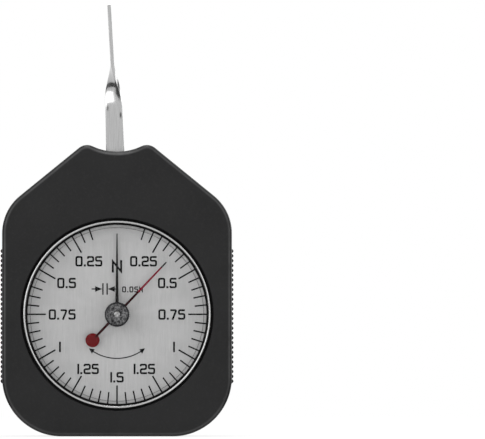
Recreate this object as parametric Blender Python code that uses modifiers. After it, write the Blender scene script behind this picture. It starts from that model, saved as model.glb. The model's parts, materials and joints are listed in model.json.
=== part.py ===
"""A pocket dial tension gauge, standing on its base with the feeler lever up.

X runs to the right of the dial, Y runs back from the dial and Z runs up. The origin is on the
base, under the middle of the gauge. Every length is in metres. Depths are counted back from the
front face of the case, and a place on the dial is a pair (x, z).
"""

import math

import bpy
import bmesh

# Fits between pieces
SEAT_GAP = 0.0003            # a piece and the moulding it rests on
FIT_GAP = 0.0001             # a pressed, riveted or screwed piece and its hole
RUN_GAP = 0.00006            # a turning shaft and its bush
RUN_SPACE = 0.00015          # a turning face and the face beside it
OVERRUN = 0.0010             # a cutter past the face that it cuts

# Outline of the case
CASE_WIDTH = 0.0620
WALL = 0.0022
FOOT_RADIUS = 0.0160
SHOULDER_RADIUS = 0.0130
SHOULDER_SLOPE = math.radians(39.1)
HORN_RADIUS = 0.00354
NOTCH_RADIUS = 0.0154
NOTCH_DEPTH = 0.0018
FRONT_WALL = 0.0024
FRONT_EDGE_RADIUS = 0.0012
BACK_EDGE_RADIUS = 0.0010
SCREW_TO_TOP = 0.0084        # upper cover screws to the top of the horns

# Grip ribs on the sides of the front shell
RIB_PITCH = 0.0013
RIB_HEIGHT = 0.00045
RIB_ROOT = 0.0006            # how deep the ribs are rooted in the wall
RIB_MARGIN = 0.0010          # plain wall in front of and behind the ribs
RIB_START_SHARE = 0.89       # of the foot radius
RIB_END_SHARE = 0.927        # of the height of the shoulder
RIB_TIP_SHARE = 0.30         # flat tip, as a share of the pitch

# Window, crystal and dial
WINDOW_SIDE = 0.0050         # case side to the window's edge
WINDOW_FOOT = 0.0069         # base to the window's edge
LEDGE = 0.0018               # ledge that carries the crystal
COLLAR_WALL = 0.0016         # collar outside the window's edge
BEZEL_SINK = 0.0003
BEZEL_THICKNESS = 0.0008
BEZEL_WIDTH = 0.00065
BEZEL_SIDE_GAP = 0.00065
GASKET_THICKNESS = 0.0005
CRYSTAL_FLANGE = 0.0012
CRYSTAL_RISE = 0.0008
CRYSTAL_BEVEL = 0.0006
DIAL_THICKNESS = 0.0008
DIAL_OVERLAP_SHARE = 0.65    # of the collar's face that the dial covers
DIAL_HOLE_RADIUS = 0.0022

# Reset knob and peak pointer
KNOB_RADIUS = 0.0034
KNOB_HEIGHT = 0.0024
KNOB_FLUTE = 0.00016
KNOB_CHAMFER = 0.0003
KNOB_FLUTES = 36
SPINDLE_RADIUS = 0.0008
WASHER_RADIUS = 0.0026
WASHER_THICKNESS = 0.00025
RETAINER_RADIUS = 0.0021
RETAINER_THICKNESS = 0.0005
PEAK_HUB_RADIUS = 0.0017
PEAK_HUB_THICKNESS = 0.0006
PEAK_TO_WALL = 0.0048        # peak pointer's tip to the chamber's wall
PEAK_WIDTH = 0.00048
PEAK_TIP_WIDTH = 0.00030
PEAK_DISC_REACH = 0.0096
PEAK_DISC_RADIUS = 0.0019
PEAK_ANGLE = math.radians(43.4)
NEEDLE_THICKNESS = 0.00025
POINTER_SPACE = 0.0005       # peak hub to main pointer

# Main pointer
POINTER_TO_WALL = 0.0024     # main pointer's tip to the chamber's wall
POINTER_WIDTH = 0.00100
POINTER_TIP_WIDTH = 0.00025
POINTER_HUB_RADIUS = 0.0017
POINTER_HUB_THICKNESS = 0.0008
POINTER_TAIL = 0.0030
CARRY_PIN_REACH = 0.0060
CARRY_PIN_RADIUS = 0.00028

# Gear train
MODULE = 0.0003
PINION_TEETH = 12
SECTOR_TEETH = 180           # round the full circle that the sector is cut from
PRESSURE_ANGLE = math.radians(20)
PINION_ADDENDUM_SHARE = 1.0  # of the module
SECTOR_ADDENDUM_SHARE = 0.7
DEDENDUM_SHARE = 1.25
BACKLASH_SHARE = 0.07
SPARE_TEETH = 2              # at each end of the sector, past the last one used
FLANK_STEPS = 2
LEVER_SWING = math.radians(12)
SECTOR_THICKNESS = 0.0009
SECTOR_SPACE = 0.0006        # main plate to sector
SECTOR_RIM_SHARE = 0.095     # of the sector's radius
SECTOR_ARM_SHARE = 0.13
SECTOR_WEB_SHARE = 0.50
PINION_FACE_SPACE = 0.0003   # pinion past each face of the sector
ARBOR_RADIUS = 0.0010
ARBOR_FRONT_RADIUS = 0.0006
ARBOR_REAR_RADIUS = 0.0005

# Movement frame
MAIN_PLATE_THICKNESS = 0.0012
BACK_PLATE_THICKNESS = 0.0010
PLATE_EDGE_GAP = 0.0004      # main plate inside the collar's outline
PLATE_MARGIN = 0.0016        # stop pins to the plates' edges
PLATE_HEAD = 0.0051          # lever axle to the plates' top edge
PLATE_TAIL = 0.0085          # centre arbor to the back plate's lower edge
PLATE_CORNER_RADIUS = 0.0020
PILLAR_INSET = 0.0026
PILLAR_RADIUS = 0.0016
PILLAR_TENON_RADIUS = 0.0010
BUSH_WALL = 0.0010
STOP_PIN_RADIUS = 0.0009
STOP_PIN_SHARE = 0.70        # along the sector's side
STOP_GAP = 0.0002
MOVEMENT_SCREW_ANGLES = [math.radians(a) for a in (30, 150, 270)]

# Small screws of the movement
SMALL_SHANK_RADIUS = 0.0007
SMALL_SHANK_LENGTH = 0.0020  # past the plate that it holds
SMALL_HEAD_RADIUS = 0.0013
SMALL_HEAD_HEIGHT = 0.0006
SMALL_SLOT_WIDTH = 0.0004
SMALL_SLOT_SHARE = 0.5       # of the head's height

# Lever
LEVER_THICKNESS = 0.00095
LEVER_WIDTH = 0.0054         # at the axle
LEVER_NECK_WIDTH = 0.00455   # where the twist begins
LEVER_EDGE = 0.00014
LEVER_TAIL = 0.0122          # axle to the lower end
LEVER_LEAN = math.radians(1.4)
BLADE_LEAN = math.radians(3.1)
TWIST_RISE = 0.0114          # notch floor to the start of the twist
TWIST_LENGTH = 0.0122
BLADE_LENGTH = 0.0163
BLADE_TIP_WIDTH = 0.0032
TWIST_STEPS = 12
TWIST_EASE_SHARE = 0.05
TIP_CORNER = 0.0009
TIP_STEPS = 3
SLOT_CLEARANCE = 0.00045
BOSS_CLEARANCE = 0.0003
AXLE_RADIUS = 0.0010
HUB_BOSS_RADIUS = 0.0016
HUB_RADIUS = 0.0030
CLIP_THICKNESS = 0.0004
CLIP_WALL = 0.0011
CLIP_OPENING = math.radians(60)
RIVET_RADIUS = 0.0006
RIVET_HEAD_RADIUS = 0.0010
RIVET_HEAD_THICKNESS = 0.0003
RIVET_SHARES = (0.44, 0.87)  # of the lever's tail
SPRING_PIN_SHARE = 0.66

# Centring spring of the lever
SPRING_WIRE = 0.0011
SPRING_COIL_RADIUS = 0.0039
SPRING_PITCH = 0.00155
SPRING_TURNS = 1.5
SPRING_SPACE = 0.0006        # lever to spring
SPRING_BACK_SPACE = 0.00045
SPRING_PIN_RADIUS = 0.0009
SPRING_POST_DROP = 0.0014    # lever's lower end to the fixed post
SPRING_LEG_SPARE = 0.0013    # leg past the fixed post
SPRING_STEPS = 14

# Hairspring of the centre arbor
HAIR_THICKNESS = 0.00020
HAIR_WIDTH = 0.0008
HAIR_PITCH = 0.00085
HAIR_TURNS = 4.5
HAIR_STEPS = 14
COLLET_WALL = 0.0006
COLLET_HEIGHT = 0.0010
STUD_RADIUS = 0.0008

# Back cover and its screws
COVER_DEPTH = 0.0039
COVER_WALL = 0.0018
COVER_SPACE = 0.0006         # movement to the inside of the cover
LIP_HEIGHT = 0.0012
LIP_WALL = 0.0010
BOSS_RADIUS = 0.0028
COVER_SCREW_ANGLE = math.radians(-48.4)   # lower screws, seen from the dial's centre
COVER_SHANK_RADIUS = 0.0010
COVER_SHANK_LENGTH = 0.0070
COVER_HEAD_RADIUS = 0.00198
COVER_HEAD_HEIGHT = 0.0012
COVER_HEAD_SINK = 0.00035
COUNTERBORE_GAP = 0.00047
CROSS_LENGTH = 0.0024
CROSS_WIDTH = 0.00062
CROSS_DEPTH = 0.0008
COVER_SCREW_TURNS = [math.radians(a) for a in (20, 65, 35, 52)]
LABEL_WIDTH = 0.0400
LABEL_HEIGHT = 0.0200
LABEL_RADIUS = 0.0018
LABEL_THICKNESS = 0.00025
LABEL_RISE = 0.0067          # dial's centre to the label's centre
LABEL_SHIFT = 0.0007
LABEL_TURN = math.radians(0.5)

# Sides of round pieces and steps of arcs
RING_SIDES = 48
ROD_SIDES = 16
PIN_SIDES = 12
ARC_STEP = math.radians(11)

# Outline of the case, from its driving sizes
half_width = CASE_WIDTH / 2
window_radius = half_width - WINDOW_SIDE
chamber_radius = window_radius - LEDGE
collar_radius = window_radius + COLLAR_WALL
pointer_reach = chamber_radius - POINTER_TO_WALL
peak_reach = chamber_radius - PEAK_TO_WALL
dial_z = WINDOW_FOOT + window_radius
pinion_radius = MODULE * PINION_TEETH / 2
sector_radius = MODULE * SECTOR_TEETH / 2
pivot_z = dial_z + pinion_radius + sector_radius
plate_top = pivot_z + PLATE_HEAD
upper_screw_z = plate_top + 2 * SEAT_GAP + BOSS_RADIUS
case_height = upper_screw_z + SCREW_TO_TOP
notch_floor = case_height - NOTCH_DEPTH

slope_x = math.sin(SHOULDER_SLOPE)
slope_z = math.cos(SHOULDER_SLOPE)
foot_centre = (half_width - FOOT_RADIUS, FOOT_RADIUS)
notch_centre = (0, notch_floor + NOTCH_RADIUS)
horn_z = case_height - HORN_RADIUS
horn_x = math.sqrt((HORN_RADIUS + NOTCH_RADIUS) ** 2 - (notch_centre[1] - horn_z) ** 2)
horn_centre = (horn_x, horn_z)
shoulder_line = slope_x * horn_x + slope_z * horn_z + HORN_RADIUS
shoulder_x = half_width - SHOULDER_RADIUS
shoulder_z = (shoulder_line - SHOULDER_RADIUS - slope_x * shoulder_x) / slope_z
shoulder_centre = (shoulder_x, shoulder_z)

# Depths, from the front face back
bezel_front = BEZEL_SINK
gasket_front = bezel_front + BEZEL_THICKNESS + FIT_GAP
flange_front = gasket_front + GASKET_THICKNESS + FIT_GAP
crystal_front = flange_front - CRYSTAL_RISE
crystal_back = flange_front + CRYSTAL_FLANGE
ledge_depth = crystal_back + SEAT_GAP
washer_back = crystal_front - RUN_SPACE
washer_front = washer_back - WASHER_THICKNESS
knob_back = washer_front - FIT_GAP
knob_front = knob_back - KNOB_HEIGHT
retainer_front = crystal_back + RUN_SPACE
peak_front = retainer_front + RETAINER_THICKNESS + FIT_GAP
peak_back = peak_front + PEAK_HUB_THICKNESS
pointer_front = peak_back + POINTER_SPACE
pointer_back = pointer_front + POINTER_HUB_THICKNESS
dial_front = pointer_back + SEAT_GAP
dial_back = dial_front + DIAL_THICKNESS
main_plate_front = dial_back + SEAT_GAP
main_plate_back = main_plate_front + MAIN_PLATE_THICKNESS
sector_front = main_plate_back + SECTOR_SPACE
sector_back = sector_front + SECTOR_THICKNESS
lever_front = sector_back + FIT_GAP
lever_back = lever_front + LEVER_THICKNESS
coil_front = lever_back + SPRING_SPACE
coil_back = coil_front + SPRING_WIRE + SPRING_TURNS * SPRING_PITCH
back_plate_front = coil_back + SPRING_BACK_SPACE
back_plate_back = back_plate_front + BACK_PLATE_THICKNESS
screw_head_back = back_plate_back + FIT_GAP + SMALL_HEAD_HEIGHT
cover_inside = screw_head_back + COVER_SPACE
case_depth = cover_inside + COVER_WALL
cover_front = case_depth - COVER_DEPTH
shell_depth = cover_front - SEAT_GAP
front_y = -(case_depth + knob_front) / 2    # centres the whole gauge, knob included, on Y = 0

# Places of the pieces on the dial's plane
dial_centre = (0, dial_z)
pivot = (0, pivot_z)
furthest_lean = LEVER_SWING + LEVER_LEAN
main_plate_radius = collar_radius - PLATE_EDGE_GAP
movement_screw_radius = (chamber_radius + collar_radius) / 2
dial_radius = chamber_radius + (collar_radius - chamber_radius) * DIAL_OVERLAP_SHARE
tooth_angle = 2 * math.pi / SECTOR_TEETH
sector_teeth_cut = 2 * (math.ceil(LEVER_SWING / tooth_angle) + SPARE_TEETH) + 1
sector_half_angle = sector_teeth_cut * tooth_angle / 2
hair_start = ARBOR_RADIUS + FIT_GAP + COLLET_WALL + FIT_GAP + HAIR_THICKNESS / 2
hair_end = hair_start + HAIR_TURNS * HAIR_PITCH


def turned_point(point, centre, angle):
    """Where a point comes when it turns anticlockwise about a centre."""
    x = point[0] - centre[0]
    z = point[1] - centre[1]
    c = math.cos(angle)
    s = math.sin(angle)
    return (centre[0] + c * x - s * z, centre[1] + s * x + c * z)


def polar(centre, radius, angle):
    """The point at a radius and an angle, anticlockwise from +X."""
    return (centre[0] + radius * math.cos(angle), centre[1] + radius * math.sin(angle))


def arc(centre, radius, start, end):
    """Points along an arc, both ends included, about ARC_STEP apart."""
    steps = max(2, round(abs(end - start) / ARC_STEP))
    return [polar(centre, radius, start + (end - start) * i / steps) for i in range(steps + 1)]


def circle(centre, radius, sides):
    """Corners of a regular polygon drawn inside a circle."""
    return [polar(centre, radius, 2 * math.pi * i / sides) for i in range(sides)]


def rounded_box(centre, width, height, radius):
    """A rectangle with round corners, anticlockwise."""
    points = []
    for corner, (sx, sz) in enumerate(((1, -1), (1, 1), (-1, 1), (-1, -1))):
        middle = (centre[0] + sx * (width / 2 - radius), centre[1] + sz * (height / 2 - radius))
        start = (corner - 1) * math.pi / 2
        points += arc(middle, radius, start, start + math.pi / 2)
    return points


def horn_corner(inset):
    """Where the slanted shoulder meets the notch once the inset has used up the horn's radius."""
    radius = NOTCH_RADIUS + inset
    away = slope_z * notch_centre[1] - (shoulder_line - inset)
    along = math.sqrt(radius ** 2 - away ** 2)
    return (slope_z * along - slope_x * away, notch_centre[1] - slope_z * away - slope_x * along)


def case_outline(inset=0):
    """The case's outline moved inwards, anticlockwise from the middle of the base."""
    slant = math.pi / 2 - SHOULDER_SLOPE
    right = arc(foot_centre, FOOT_RADIUS - inset, -math.pi / 2, 0)
    right += arc(shoulder_centre, SHOULDER_RADIUS - inset, 0, slant)
    if inset < HORN_RADIUS - FIT_GAP:
        to_notch = math.atan2(notch_centre[1] - horn_z, -horn_x)
        right += arc(horn_centre, HORN_RADIUS - inset, slant, to_notch)[:-1]
        notch_start = to_notch - math.pi
    else:
        corner = horn_corner(inset)
        notch_start = math.atan2(corner[1] - notch_centre[1], corner[0])
    right += arc(notch_centre, NOTCH_RADIUS + inset, notch_start, -math.pi / 2)[:-1]
    left = [(-x, z) for x, z in reversed(right)]
    return right + [(0, notch_floor - inset)] + left


def lever_reach(z):
    """How far from the middle plane the swinging lever comes at a height."""
    side = LEVER_WIDTH / 2 / math.cos(furthest_lean)
    return (z - pivot_z) * math.tan(furthest_lean) + side


slot_half = lever_reach(notch_floor) + SLOT_CLEARANCE
upper_screw_x = lever_reach(upper_screw_z) + BOSS_CLEARANCE + BOSS_RADIUS
lower_screw_radius = main_plate_radius + SEAT_GAP + BOSS_RADIUS
lower_screw = polar(dial_centre, lower_screw_radius, COVER_SCREW_ANGLE)
cover_screws = {
    "upper_left": (-upper_screw_x, upper_screw_z),
    "upper_right": (upper_screw_x, upper_screw_z),
    "lower_left": (-lower_screw[0], lower_screw[1]),
    "lower_right": lower_screw,
}

# The sector's straight sides run from its rim to its hub, and the stop pins stand beside them
sector_hub_radius = sector_radius * SECTOR_ARM_SHARE
sector_root_radius = sector_radius - MODULE * DEDENDUM_SHARE


def sector_side():
    """Ends of the sector's right-hand side: on the hub and on the rim."""
    rim = polar(pivot, sector_root_radius, sector_half_angle - math.pi / 2)
    touch = sector_half_angle - math.pi / 2 + math.acos(sector_hub_radius / sector_root_radius)
    return polar(pivot, sector_hub_radius, touch), rim


def stop_pin_place():
    """The right-hand stop pin: beside the sector's side once the lever has swung fully."""
    hub, rim = sector_side()
    length = math.dist(hub, rim)
    out = ((hub[1] - rim[1]) / length, (rim[0] - hub[0]) / length)
    beside = STOP_PIN_RADIUS + STOP_GAP
    x = hub[0] + (rim[0] - hub[0]) * STOP_PIN_SHARE + out[0] * beside
    z = hub[1] + (rim[1] - hub[1]) * STOP_PIN_SHARE + out[1] * beside
    return turned_point((x, z), pivot, LEVER_SWING)


stop_pin = stop_pin_place()
plate_half_width = stop_pin[0] + STOP_PIN_RADIUS + PLATE_MARGIN
pillar_x = plate_half_width - PILLAR_INSET
pillars = {
    "upper_left": (-pillar_x, plate_top - PILLAR_INSET),
    "upper_right": (pillar_x, plate_top - PILLAR_INSET),
    "lower_left": (-pillar_x, dial_z - PLATE_TAIL + PILLAR_INSET),
    "lower_right": (pillar_x, dial_z - PLATE_TAIL + PILLAR_INSET),
}
spring_post = (0, pivot_z - LEVER_TAIL - SPRING_POST_DROP)
hair_stud_radius = hair_end + HAIR_THICKNESS / 2 + FIT_GAP + STUD_RADIUS
hair_stud_angle = 2 * math.pi * HAIR_TURNS - math.pi / 4
hair_stud = polar(dial_centre, hair_stud_radius, hair_stud_angle)
hair_middle = (sector_back + back_plate_front) / 2 + HAIR_WIDTH


# Making objects

def new_collection(name):
    collection = bpy.data.collections.new(name)
    bpy.context.scene.collection.children.link(collection)
    return collection


def new_material(name, colour, roughness, metallic=0.0, alpha=1.0):
    material = bpy.data.materials.new(name)
    material.use_nodes = True
    shader = material.node_tree.nodes["Principled BSDF"]
    shader.inputs["Base Color"].default_value = (*colour, 1.0)
    shader.inputs["Roughness"].default_value = roughness
    shader.inputs["Metallic"].default_value = metallic
    shader.inputs["Alpha"].default_value = alpha
    return material


def world_y(depth):
    return front_y + depth


def place(obj, centre, depth):
    """Stands a flat or turned piece upright: its own Z points to the front of the gauge."""
    obj.location = (centre[0], world_y(depth), centre[1])
    obj.rotation_euler = (math.pi / 2, 0, 0)
    return obj


def link(obj, material=None):
    """A piece gets its material and goes with the parts, and without one it is a cutter."""
    if material is None:
        obj.hide_render = True
        obj.display_type = "WIRE"
        cutters.objects.link(obj)
    else:
        obj.data.materials.append(material)
        parts.objects.link(obj)
    return obj


def smooth(mesh):
    mesh.shade_smooth()
    mesh.set_sharp_from_angle(angle=math.radians(35))


def flat(name, outlines, front, back, material=None, centre=(0, 0), edge=0, bevel=0):
    """A flat piece from outlines given from the gauge's origin. Its own origin is at centre.

    edge names the face whose rim is rounded by bevel: -1 the front, 1 the back.
    """
    curve = bpy.data.curves.new(name + "_outline", "CURVE")
    curve.dimensions = "2D"
    curve.fill_mode = "BOTH"
    curve.extrude = (back - front) / 2
    for outline in outlines:
        spline = curve.splines.new("POLY")
        spline.points.add(len(outline) - 1)
        for point, (x, z) in zip(spline.points, outline):
            point.co = (x - centre[0], z - centre[1], 0, 1)
        spline.use_cyclic_u = True
    drawn = place(bpy.data.objects.new(name + "_outline", curve), centre, (front + back) / 2)
    obj = as_mesh(drawn, name)
    if bevel:
        round_rim(obj, -edge, bevel)
    return link(obj, material)


def as_mesh(drawn, name):
    """A curve object made a mesh object, with its caps welded and its flat faces whole."""
    bpy.context.scene.collection.objects.link(drawn)
    bpy.context.view_layer.update()
    evaluated = drawn.evaluated_get(bpy.context.evaluated_depsgraph_get())
    mesh = bpy.data.meshes.new_from_object(evaluated)
    mesh.name = name
    work = bmesh.new()
    work.from_mesh(mesh)
    bmesh.ops.remove_doubles(work, verts=work.verts, dist=FIT_GAP / 1000)
    bmesh.ops.dissolve_limit(work, angle_limit=math.radians(0.1), verts=work.verts, edges=work.edges)
    bmesh.ops.recalc_face_normals(work, faces=work.faces)
    work.to_mesh(mesh)
    work.free()
    smooth(mesh)
    obj = bpy.data.objects.new(name, mesh)
    obj.matrix_world = drawn.matrix_world.copy()
    curve = drawn.data
    bpy.data.objects.remove(drawn)
    bpy.data.curves.remove(curve)
    return obj


def round_rim(obj, side, width, segments=3):
    """A bevel on the rim of the face that lies furthest to one side of the piece's own Z."""
    mesh = obj.data
    rim = max(side * v.co.z for v in mesh.vertices)
    weights = mesh.attributes.new("bevel_weight_edge", "FLOAT", "EDGE")
    for e in mesh.edges:
        ends = [side * mesh.vertices[i].co.z for i in e.vertices]
        weights.data[e.index].value = 1.0 if min(ends) > rim - FIT_GAP else 0.0
    bevel = obj.modifiers.new("rounded_edge", "BEVEL")
    bevel.limit_method = "WEIGHT"
    bevel.width = width
    bevel.segments = segments
    bevel.use_clamp_overlap = False


def turned(name, profile, centre, material=None, sides=ROD_SIDES, closed=False):
    """A turned piece from (radius, depth) pairs, which run down its outer side from front to back."""
    first = profile[0][1]
    mesh = bpy.data.meshes.new(name)
    corners = [(radius, 0, first - depth) for radius, depth in profile]
    joins = [(i, i + 1) for i in range(len(corners) - 1)]
    if closed:
        joins.append((len(corners) - 1, 0))
    mesh.from_pydata(corners, joins, [])
    obj = place(bpy.data.objects.new(name, mesh), centre, first)
    screw = obj.modifiers.new("turned", "SCREW")
    screw.steps = sides
    screw.render_steps = sides
    screw.use_merge_vertices = True
    screw.merge_threshold = FIT_GAP / 1000
    return link(obj, material)


def ring(name, inner, outer, front, back, centre, material, sides=PIN_SIDES):
    """A flat ring. The flats of its bore clear a shaft of the inner radius."""
    bore = inner / math.cos(math.pi / sides)
    profile = [(bore, front), (outer, front), (outer, back), (bore, back)]
    return turned(name, profile, centre, material, sides, closed=True)


def rod(name, radius, front, back, centre, material=None, sides=ROD_SIDES):
    """A plain cylinder along Y."""
    mesh = bpy.data.meshes.new(name)
    work = bmesh.new()
    bmesh.ops.create_cone(
        work,
        cap_ends=True,
        segments=sides,
        radius1=radius,
        radius2=radius,
        depth=back - front,
    )
    work.to_mesh(mesh)
    work.free()
    smooth(mesh)
    return link(place(bpy.data.objects.new(name, mesh), centre, (front + back) / 2), material)


def block(name, low, high, material=None):
    """A box between two corners, each given as (x, depth, z)."""
    mesh = bpy.data.meshes.new(name)
    work = bmesh.new()
    bmesh.ops.create_cube(work, size=1)
    size = [h - l for l, h in zip(low, high)]
    bmesh.ops.scale(work, vec=size, verts=work.verts)
    work.to_mesh(mesh)
    work.free()
    obj = bpy.data.objects.new(name, mesh)
    middle = [(l + h) / 2 for l, h in zip(low, high)]
    obj.location = (middle[0], world_y(middle[1]), middle[2])
    return link(obj, material)


def combine(obj, other, operation):
    modifier = obj.modifiers.new(operation.lower() + "_" + other.name, "BOOLEAN")
    modifier.operation = operation
    modifier.object = other
    return obj


def cut(obj, *others):
    for other in others:
        combine(obj, other, "DIFFERENCE")
    return obj


def join(obj, *others):
    for other in others:
        combine(obj, other, "UNION")
    return obj


def hole(name, radius, front, back, centre, sides=PIN_SIDES):
    """A cutter for a round hole whose flats clear a shaft of that radius."""
    return rod(name, radius / math.cos(math.pi / sides), front, back, centre, sides=sides)


# The case

def grip_ribs(name, side):
    """A comb of ribs for one side wall, rooted in the wall."""
    low = FOOT_RADIUS * RIB_START_SHARE
    high = shoulder_z * RIB_END_SHARE
    count = int((high - low) / RIB_PITCH)
    root = half_width - RIB_ROOT
    tip = half_width + RIB_HEIGHT
    points = [(root, low), (half_width, low)]
    for i in range(count):
        start = low + i * RIB_PITCH
        flank = RIB_PITCH * (1 - RIB_TIP_SHARE) / 2
        points.append((tip, start + flank))
        points.append((tip, start + RIB_PITCH - flank))
        points.append((half_width, start + RIB_PITCH))
    points.append((root, low + count * RIB_PITCH))
    outline = [(side * x, z) for x, z in points]
    front = FRONT_EDGE_RADIUS + RIB_MARGIN
    return flat(name, [outline], front, shell_depth - RIB_MARGIN)


def make_front_shell():
    body = flat("front_shell", [case_outline()], 0, shell_depth, black_shell,
                edge=-1, bevel=FRONT_EDGE_RADIUS)
    end = shell_depth + OVERRUN
    cut(body, flat("shell_pocket", [case_outline(WALL)], FRONT_WALL, end))
    collar_start = FRONT_WALL / 2
    collar_back = dial_front - SEAT_GAP
    join(body, rod("window_collar", collar_radius, collar_start, collar_back, dial_centre,
                   sides=RING_SIDES))
    for where, centre in cover_screws.items():
        join(body, rod("shell_boss_" + where, BOSS_RADIUS, collar_start, shell_depth, centre))
    join(body, grip_ribs("ribs_left", -1), grip_ribs("ribs_right", 1))
    cut(body, rod("window_recess", window_radius, -OVERRUN, ledge_depth, dial_centre,
                  sides=RING_SIDES))
    cut(body, rod("pointer_chamber", chamber_radius, 0, collar_back + OVERRUN, dial_centre,
                  sides=RING_SIDES))
    screw_end = case_depth - COVER_HEAD_SINK - COVER_HEAD_HEIGHT - COVER_SHANK_LENGTH
    for where, centre in cover_screws.items():
        cut(body, hole("shell_pilot_" + where, COVER_SHANK_RADIUS + FIT_GAP,
                       screw_end - SEAT_GAP, end, centre))
    for i, angle in enumerate(MOVEMENT_SCREW_ANGLES):
        centre = polar(dial_centre, movement_screw_radius, angle)
        tip = main_plate_front - SMALL_SHANK_LENGTH - SEAT_GAP
        cut(body, hole(f"collar_pilot_{i + 1}", SMALL_SHANK_RADIUS + FIT_GAP, tip,
                       collar_back + OVERRUN, centre, PIN_SIDES))
    low = (-slot_half, lever_front - SLOT_CLEARANCE, notch_floor - WALL - OVERRUN)
    high = (slot_half, end, case_height + OVERRUN)
    cut(body, block("lever_slot", low, high))
    return body


def make_back_cover():
    body = flat("back_cover", [case_outline()], cover_front, case_depth, black_cover,
                edge=1, bevel=BACK_EDGE_RADIUS)
    lip_front = cover_front - SEAT_GAP - LIP_HEIGHT
    lip_inset = WALL + SEAT_GAP
    tongue_half = slot_half - SEAT_GAP
    tongue_front = lever_back + SLOT_CLEARANCE
    tongue = flat("slot_tongue", [case_outline(FIT_GAP)], tongue_front,
                  cover_front + COVER_WALL / 2)
    tongue_foot = notch_floor - lip_inset - LIP_WALL - OVERRUN
    reach = (-tongue_half, tongue_front - OVERRUN, tongue_foot)
    limit = (tongue_half, cover_front + COVER_WALL, case_height + OVERRUN)
    combine(tongue, block("tongue_reach", reach, limit), "INTERSECT")
    lip = flat("cover_lip", [case_outline(lip_inset)], lip_front, cover_front + COVER_WALL / 2)
    join(body, lip, tongue)
    cut(body, flat("cover_pocket", [case_outline(lip_inset + LIP_WALL)],
                   tongue_front - OVERRUN, cover_inside))
    for where, centre in cover_screws.items():
        join(body, rod("cover_boss_" + where, BOSS_RADIUS, cover_front,
                       cover_inside + COVER_WALL / 2, centre))
    floor = case_depth - COVER_HEAD_SINK - COVER_HEAD_HEIGHT - FIT_GAP
    for where, centre in cover_screws.items():
        cut(body, hole("cover_hole_" + where, COVER_SHANK_RADIUS + FIT_GAP,
                       cover_front - OVERRUN, case_depth + OVERRUN, centre))
        cut(body, hole("counterbore_" + where, COVER_HEAD_RADIUS + COUNTERBORE_GAP,
                       floor, case_depth + OVERRUN, centre))
    cut(body, flat("label_recess", [label_outline(FIT_GAP)],
                   case_depth - LABEL_THICKNESS - FIT_GAP, case_depth + OVERRUN))
    return body


def label_outline(gap=0):
    centre = (-LABEL_SHIFT, dial_z + LABEL_RISE)
    box = rounded_box(centre, LABEL_WIDTH + 2 * gap, LABEL_HEIGHT + 2 * gap, LABEL_RADIUS + gap)
    return [turned_point(point, centre, LABEL_TURN) for point in box]


def make_label():
    flat("back_label", [label_outline()], case_depth - LABEL_THICKNESS, case_depth, label_print)


def make_cover_screw(where, centre, turn):
    """A pan head screw with a cross recess, driven in from the back."""
    top = case_depth - COVER_HEAD_SINK
    seat = top - COVER_HEAD_HEIGHT
    dome = COVER_HEAD_HEIGHT / 3
    profile = [
        (0, seat - COVER_SHANK_LENGTH),
        (COVER_SHANK_RADIUS, seat - COVER_SHANK_LENGTH + COVER_SHANK_RADIUS / 2),
        (COVER_SHANK_RADIUS, seat),
        (COVER_HEAD_RADIUS, seat),
        (COVER_HEAD_RADIUS, top - 2 * dome),
        (COVER_HEAD_RADIUS / 2, top),
        (0, top),
    ]
    screw = turned("cover_screw_" + where, profile, centre, screw_steel)
    a = CROSS_WIDTH / 2
    b = CROSS_LENGTH / 2
    cross = [(b, -a), (b, a), (a, a), (a, b), (-a, b), (-a, a)]
    cross += [(-x, -z) for x, z in cross]
    outline = [turned_point((centre[0] + x, centre[1] + z), centre, turn) for x, z in cross]
    cut(screw, flat("cross_" + where, [outline], top - CROSS_DEPTH, top + OVERRUN))


# The window

def make_crystal():
    flange = window_radius - SEAT_GAP
    foot = chamber_radius - FIT_GAP
    profile = [
        (0, crystal_front),
        (foot - CRYSTAL_BEVEL, crystal_front),
        (foot, flange_front),
        (flange, flange_front),
        (flange, crystal_back),
        (0, crystal_back),
    ]
    crystal = turned("crystal", profile, dial_centre, clear_acrylic, RING_SIDES)
    cut(crystal, hole("crystal_bore", SPINDLE_RADIUS + RUN_GAP, crystal_front - OVERRUN,
                      crystal_back + OVERRUN, dial_centre))


def make_gasket():
    ring("crystal_gasket", chamber_radius, window_radius - SEAT_GAP, gasket_front,
         gasket_front + GASKET_THICKNESS, dial_centre, black_rubber, RING_SIDES)


def make_bezel_ring():
    """A bright ring with chamfered rims, pressed in front of the gasket."""
    outer = window_radius - BEZEL_SIDE_GAP
    inner = outer - BEZEL_WIDTH
    corner = BEZEL_WIDTH / 4
    back = bezel_front + BEZEL_THICKNESS
    profile = [
        (inner + corner, bezel_front),
        (outer - corner, bezel_front),
        (outer, bezel_front + corner),
        (outer, back),
        (inner, back),
        (inner, bezel_front + corner),
    ]
    turned("bezel_ring", profile, dial_centre, bright_ring, RING_SIDES, closed=True)


def make_dial():
    dial = rod("dial_plate", dial_radius, dial_front, dial_back, dial_centre, dial_silver,
               RING_SIDES)
    front = dial_front - OVERRUN
    back = dial_back + OVERRUN
    cut(dial, hole("dial_hole", DIAL_HOLE_RADIUS, front, back, dial_centre))
    for i, angle in enumerate(MOVEMENT_SCREW_ANGLES):
        centre = polar(dial_centre, movement_screw_radius, angle)
        cut(dial, hole(f"dial_slot_{i + 1}", SMALL_SHANK_RADIUS + SEAT_GAP, front, back, centre))


# The reset knob and the peak pointer

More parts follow.
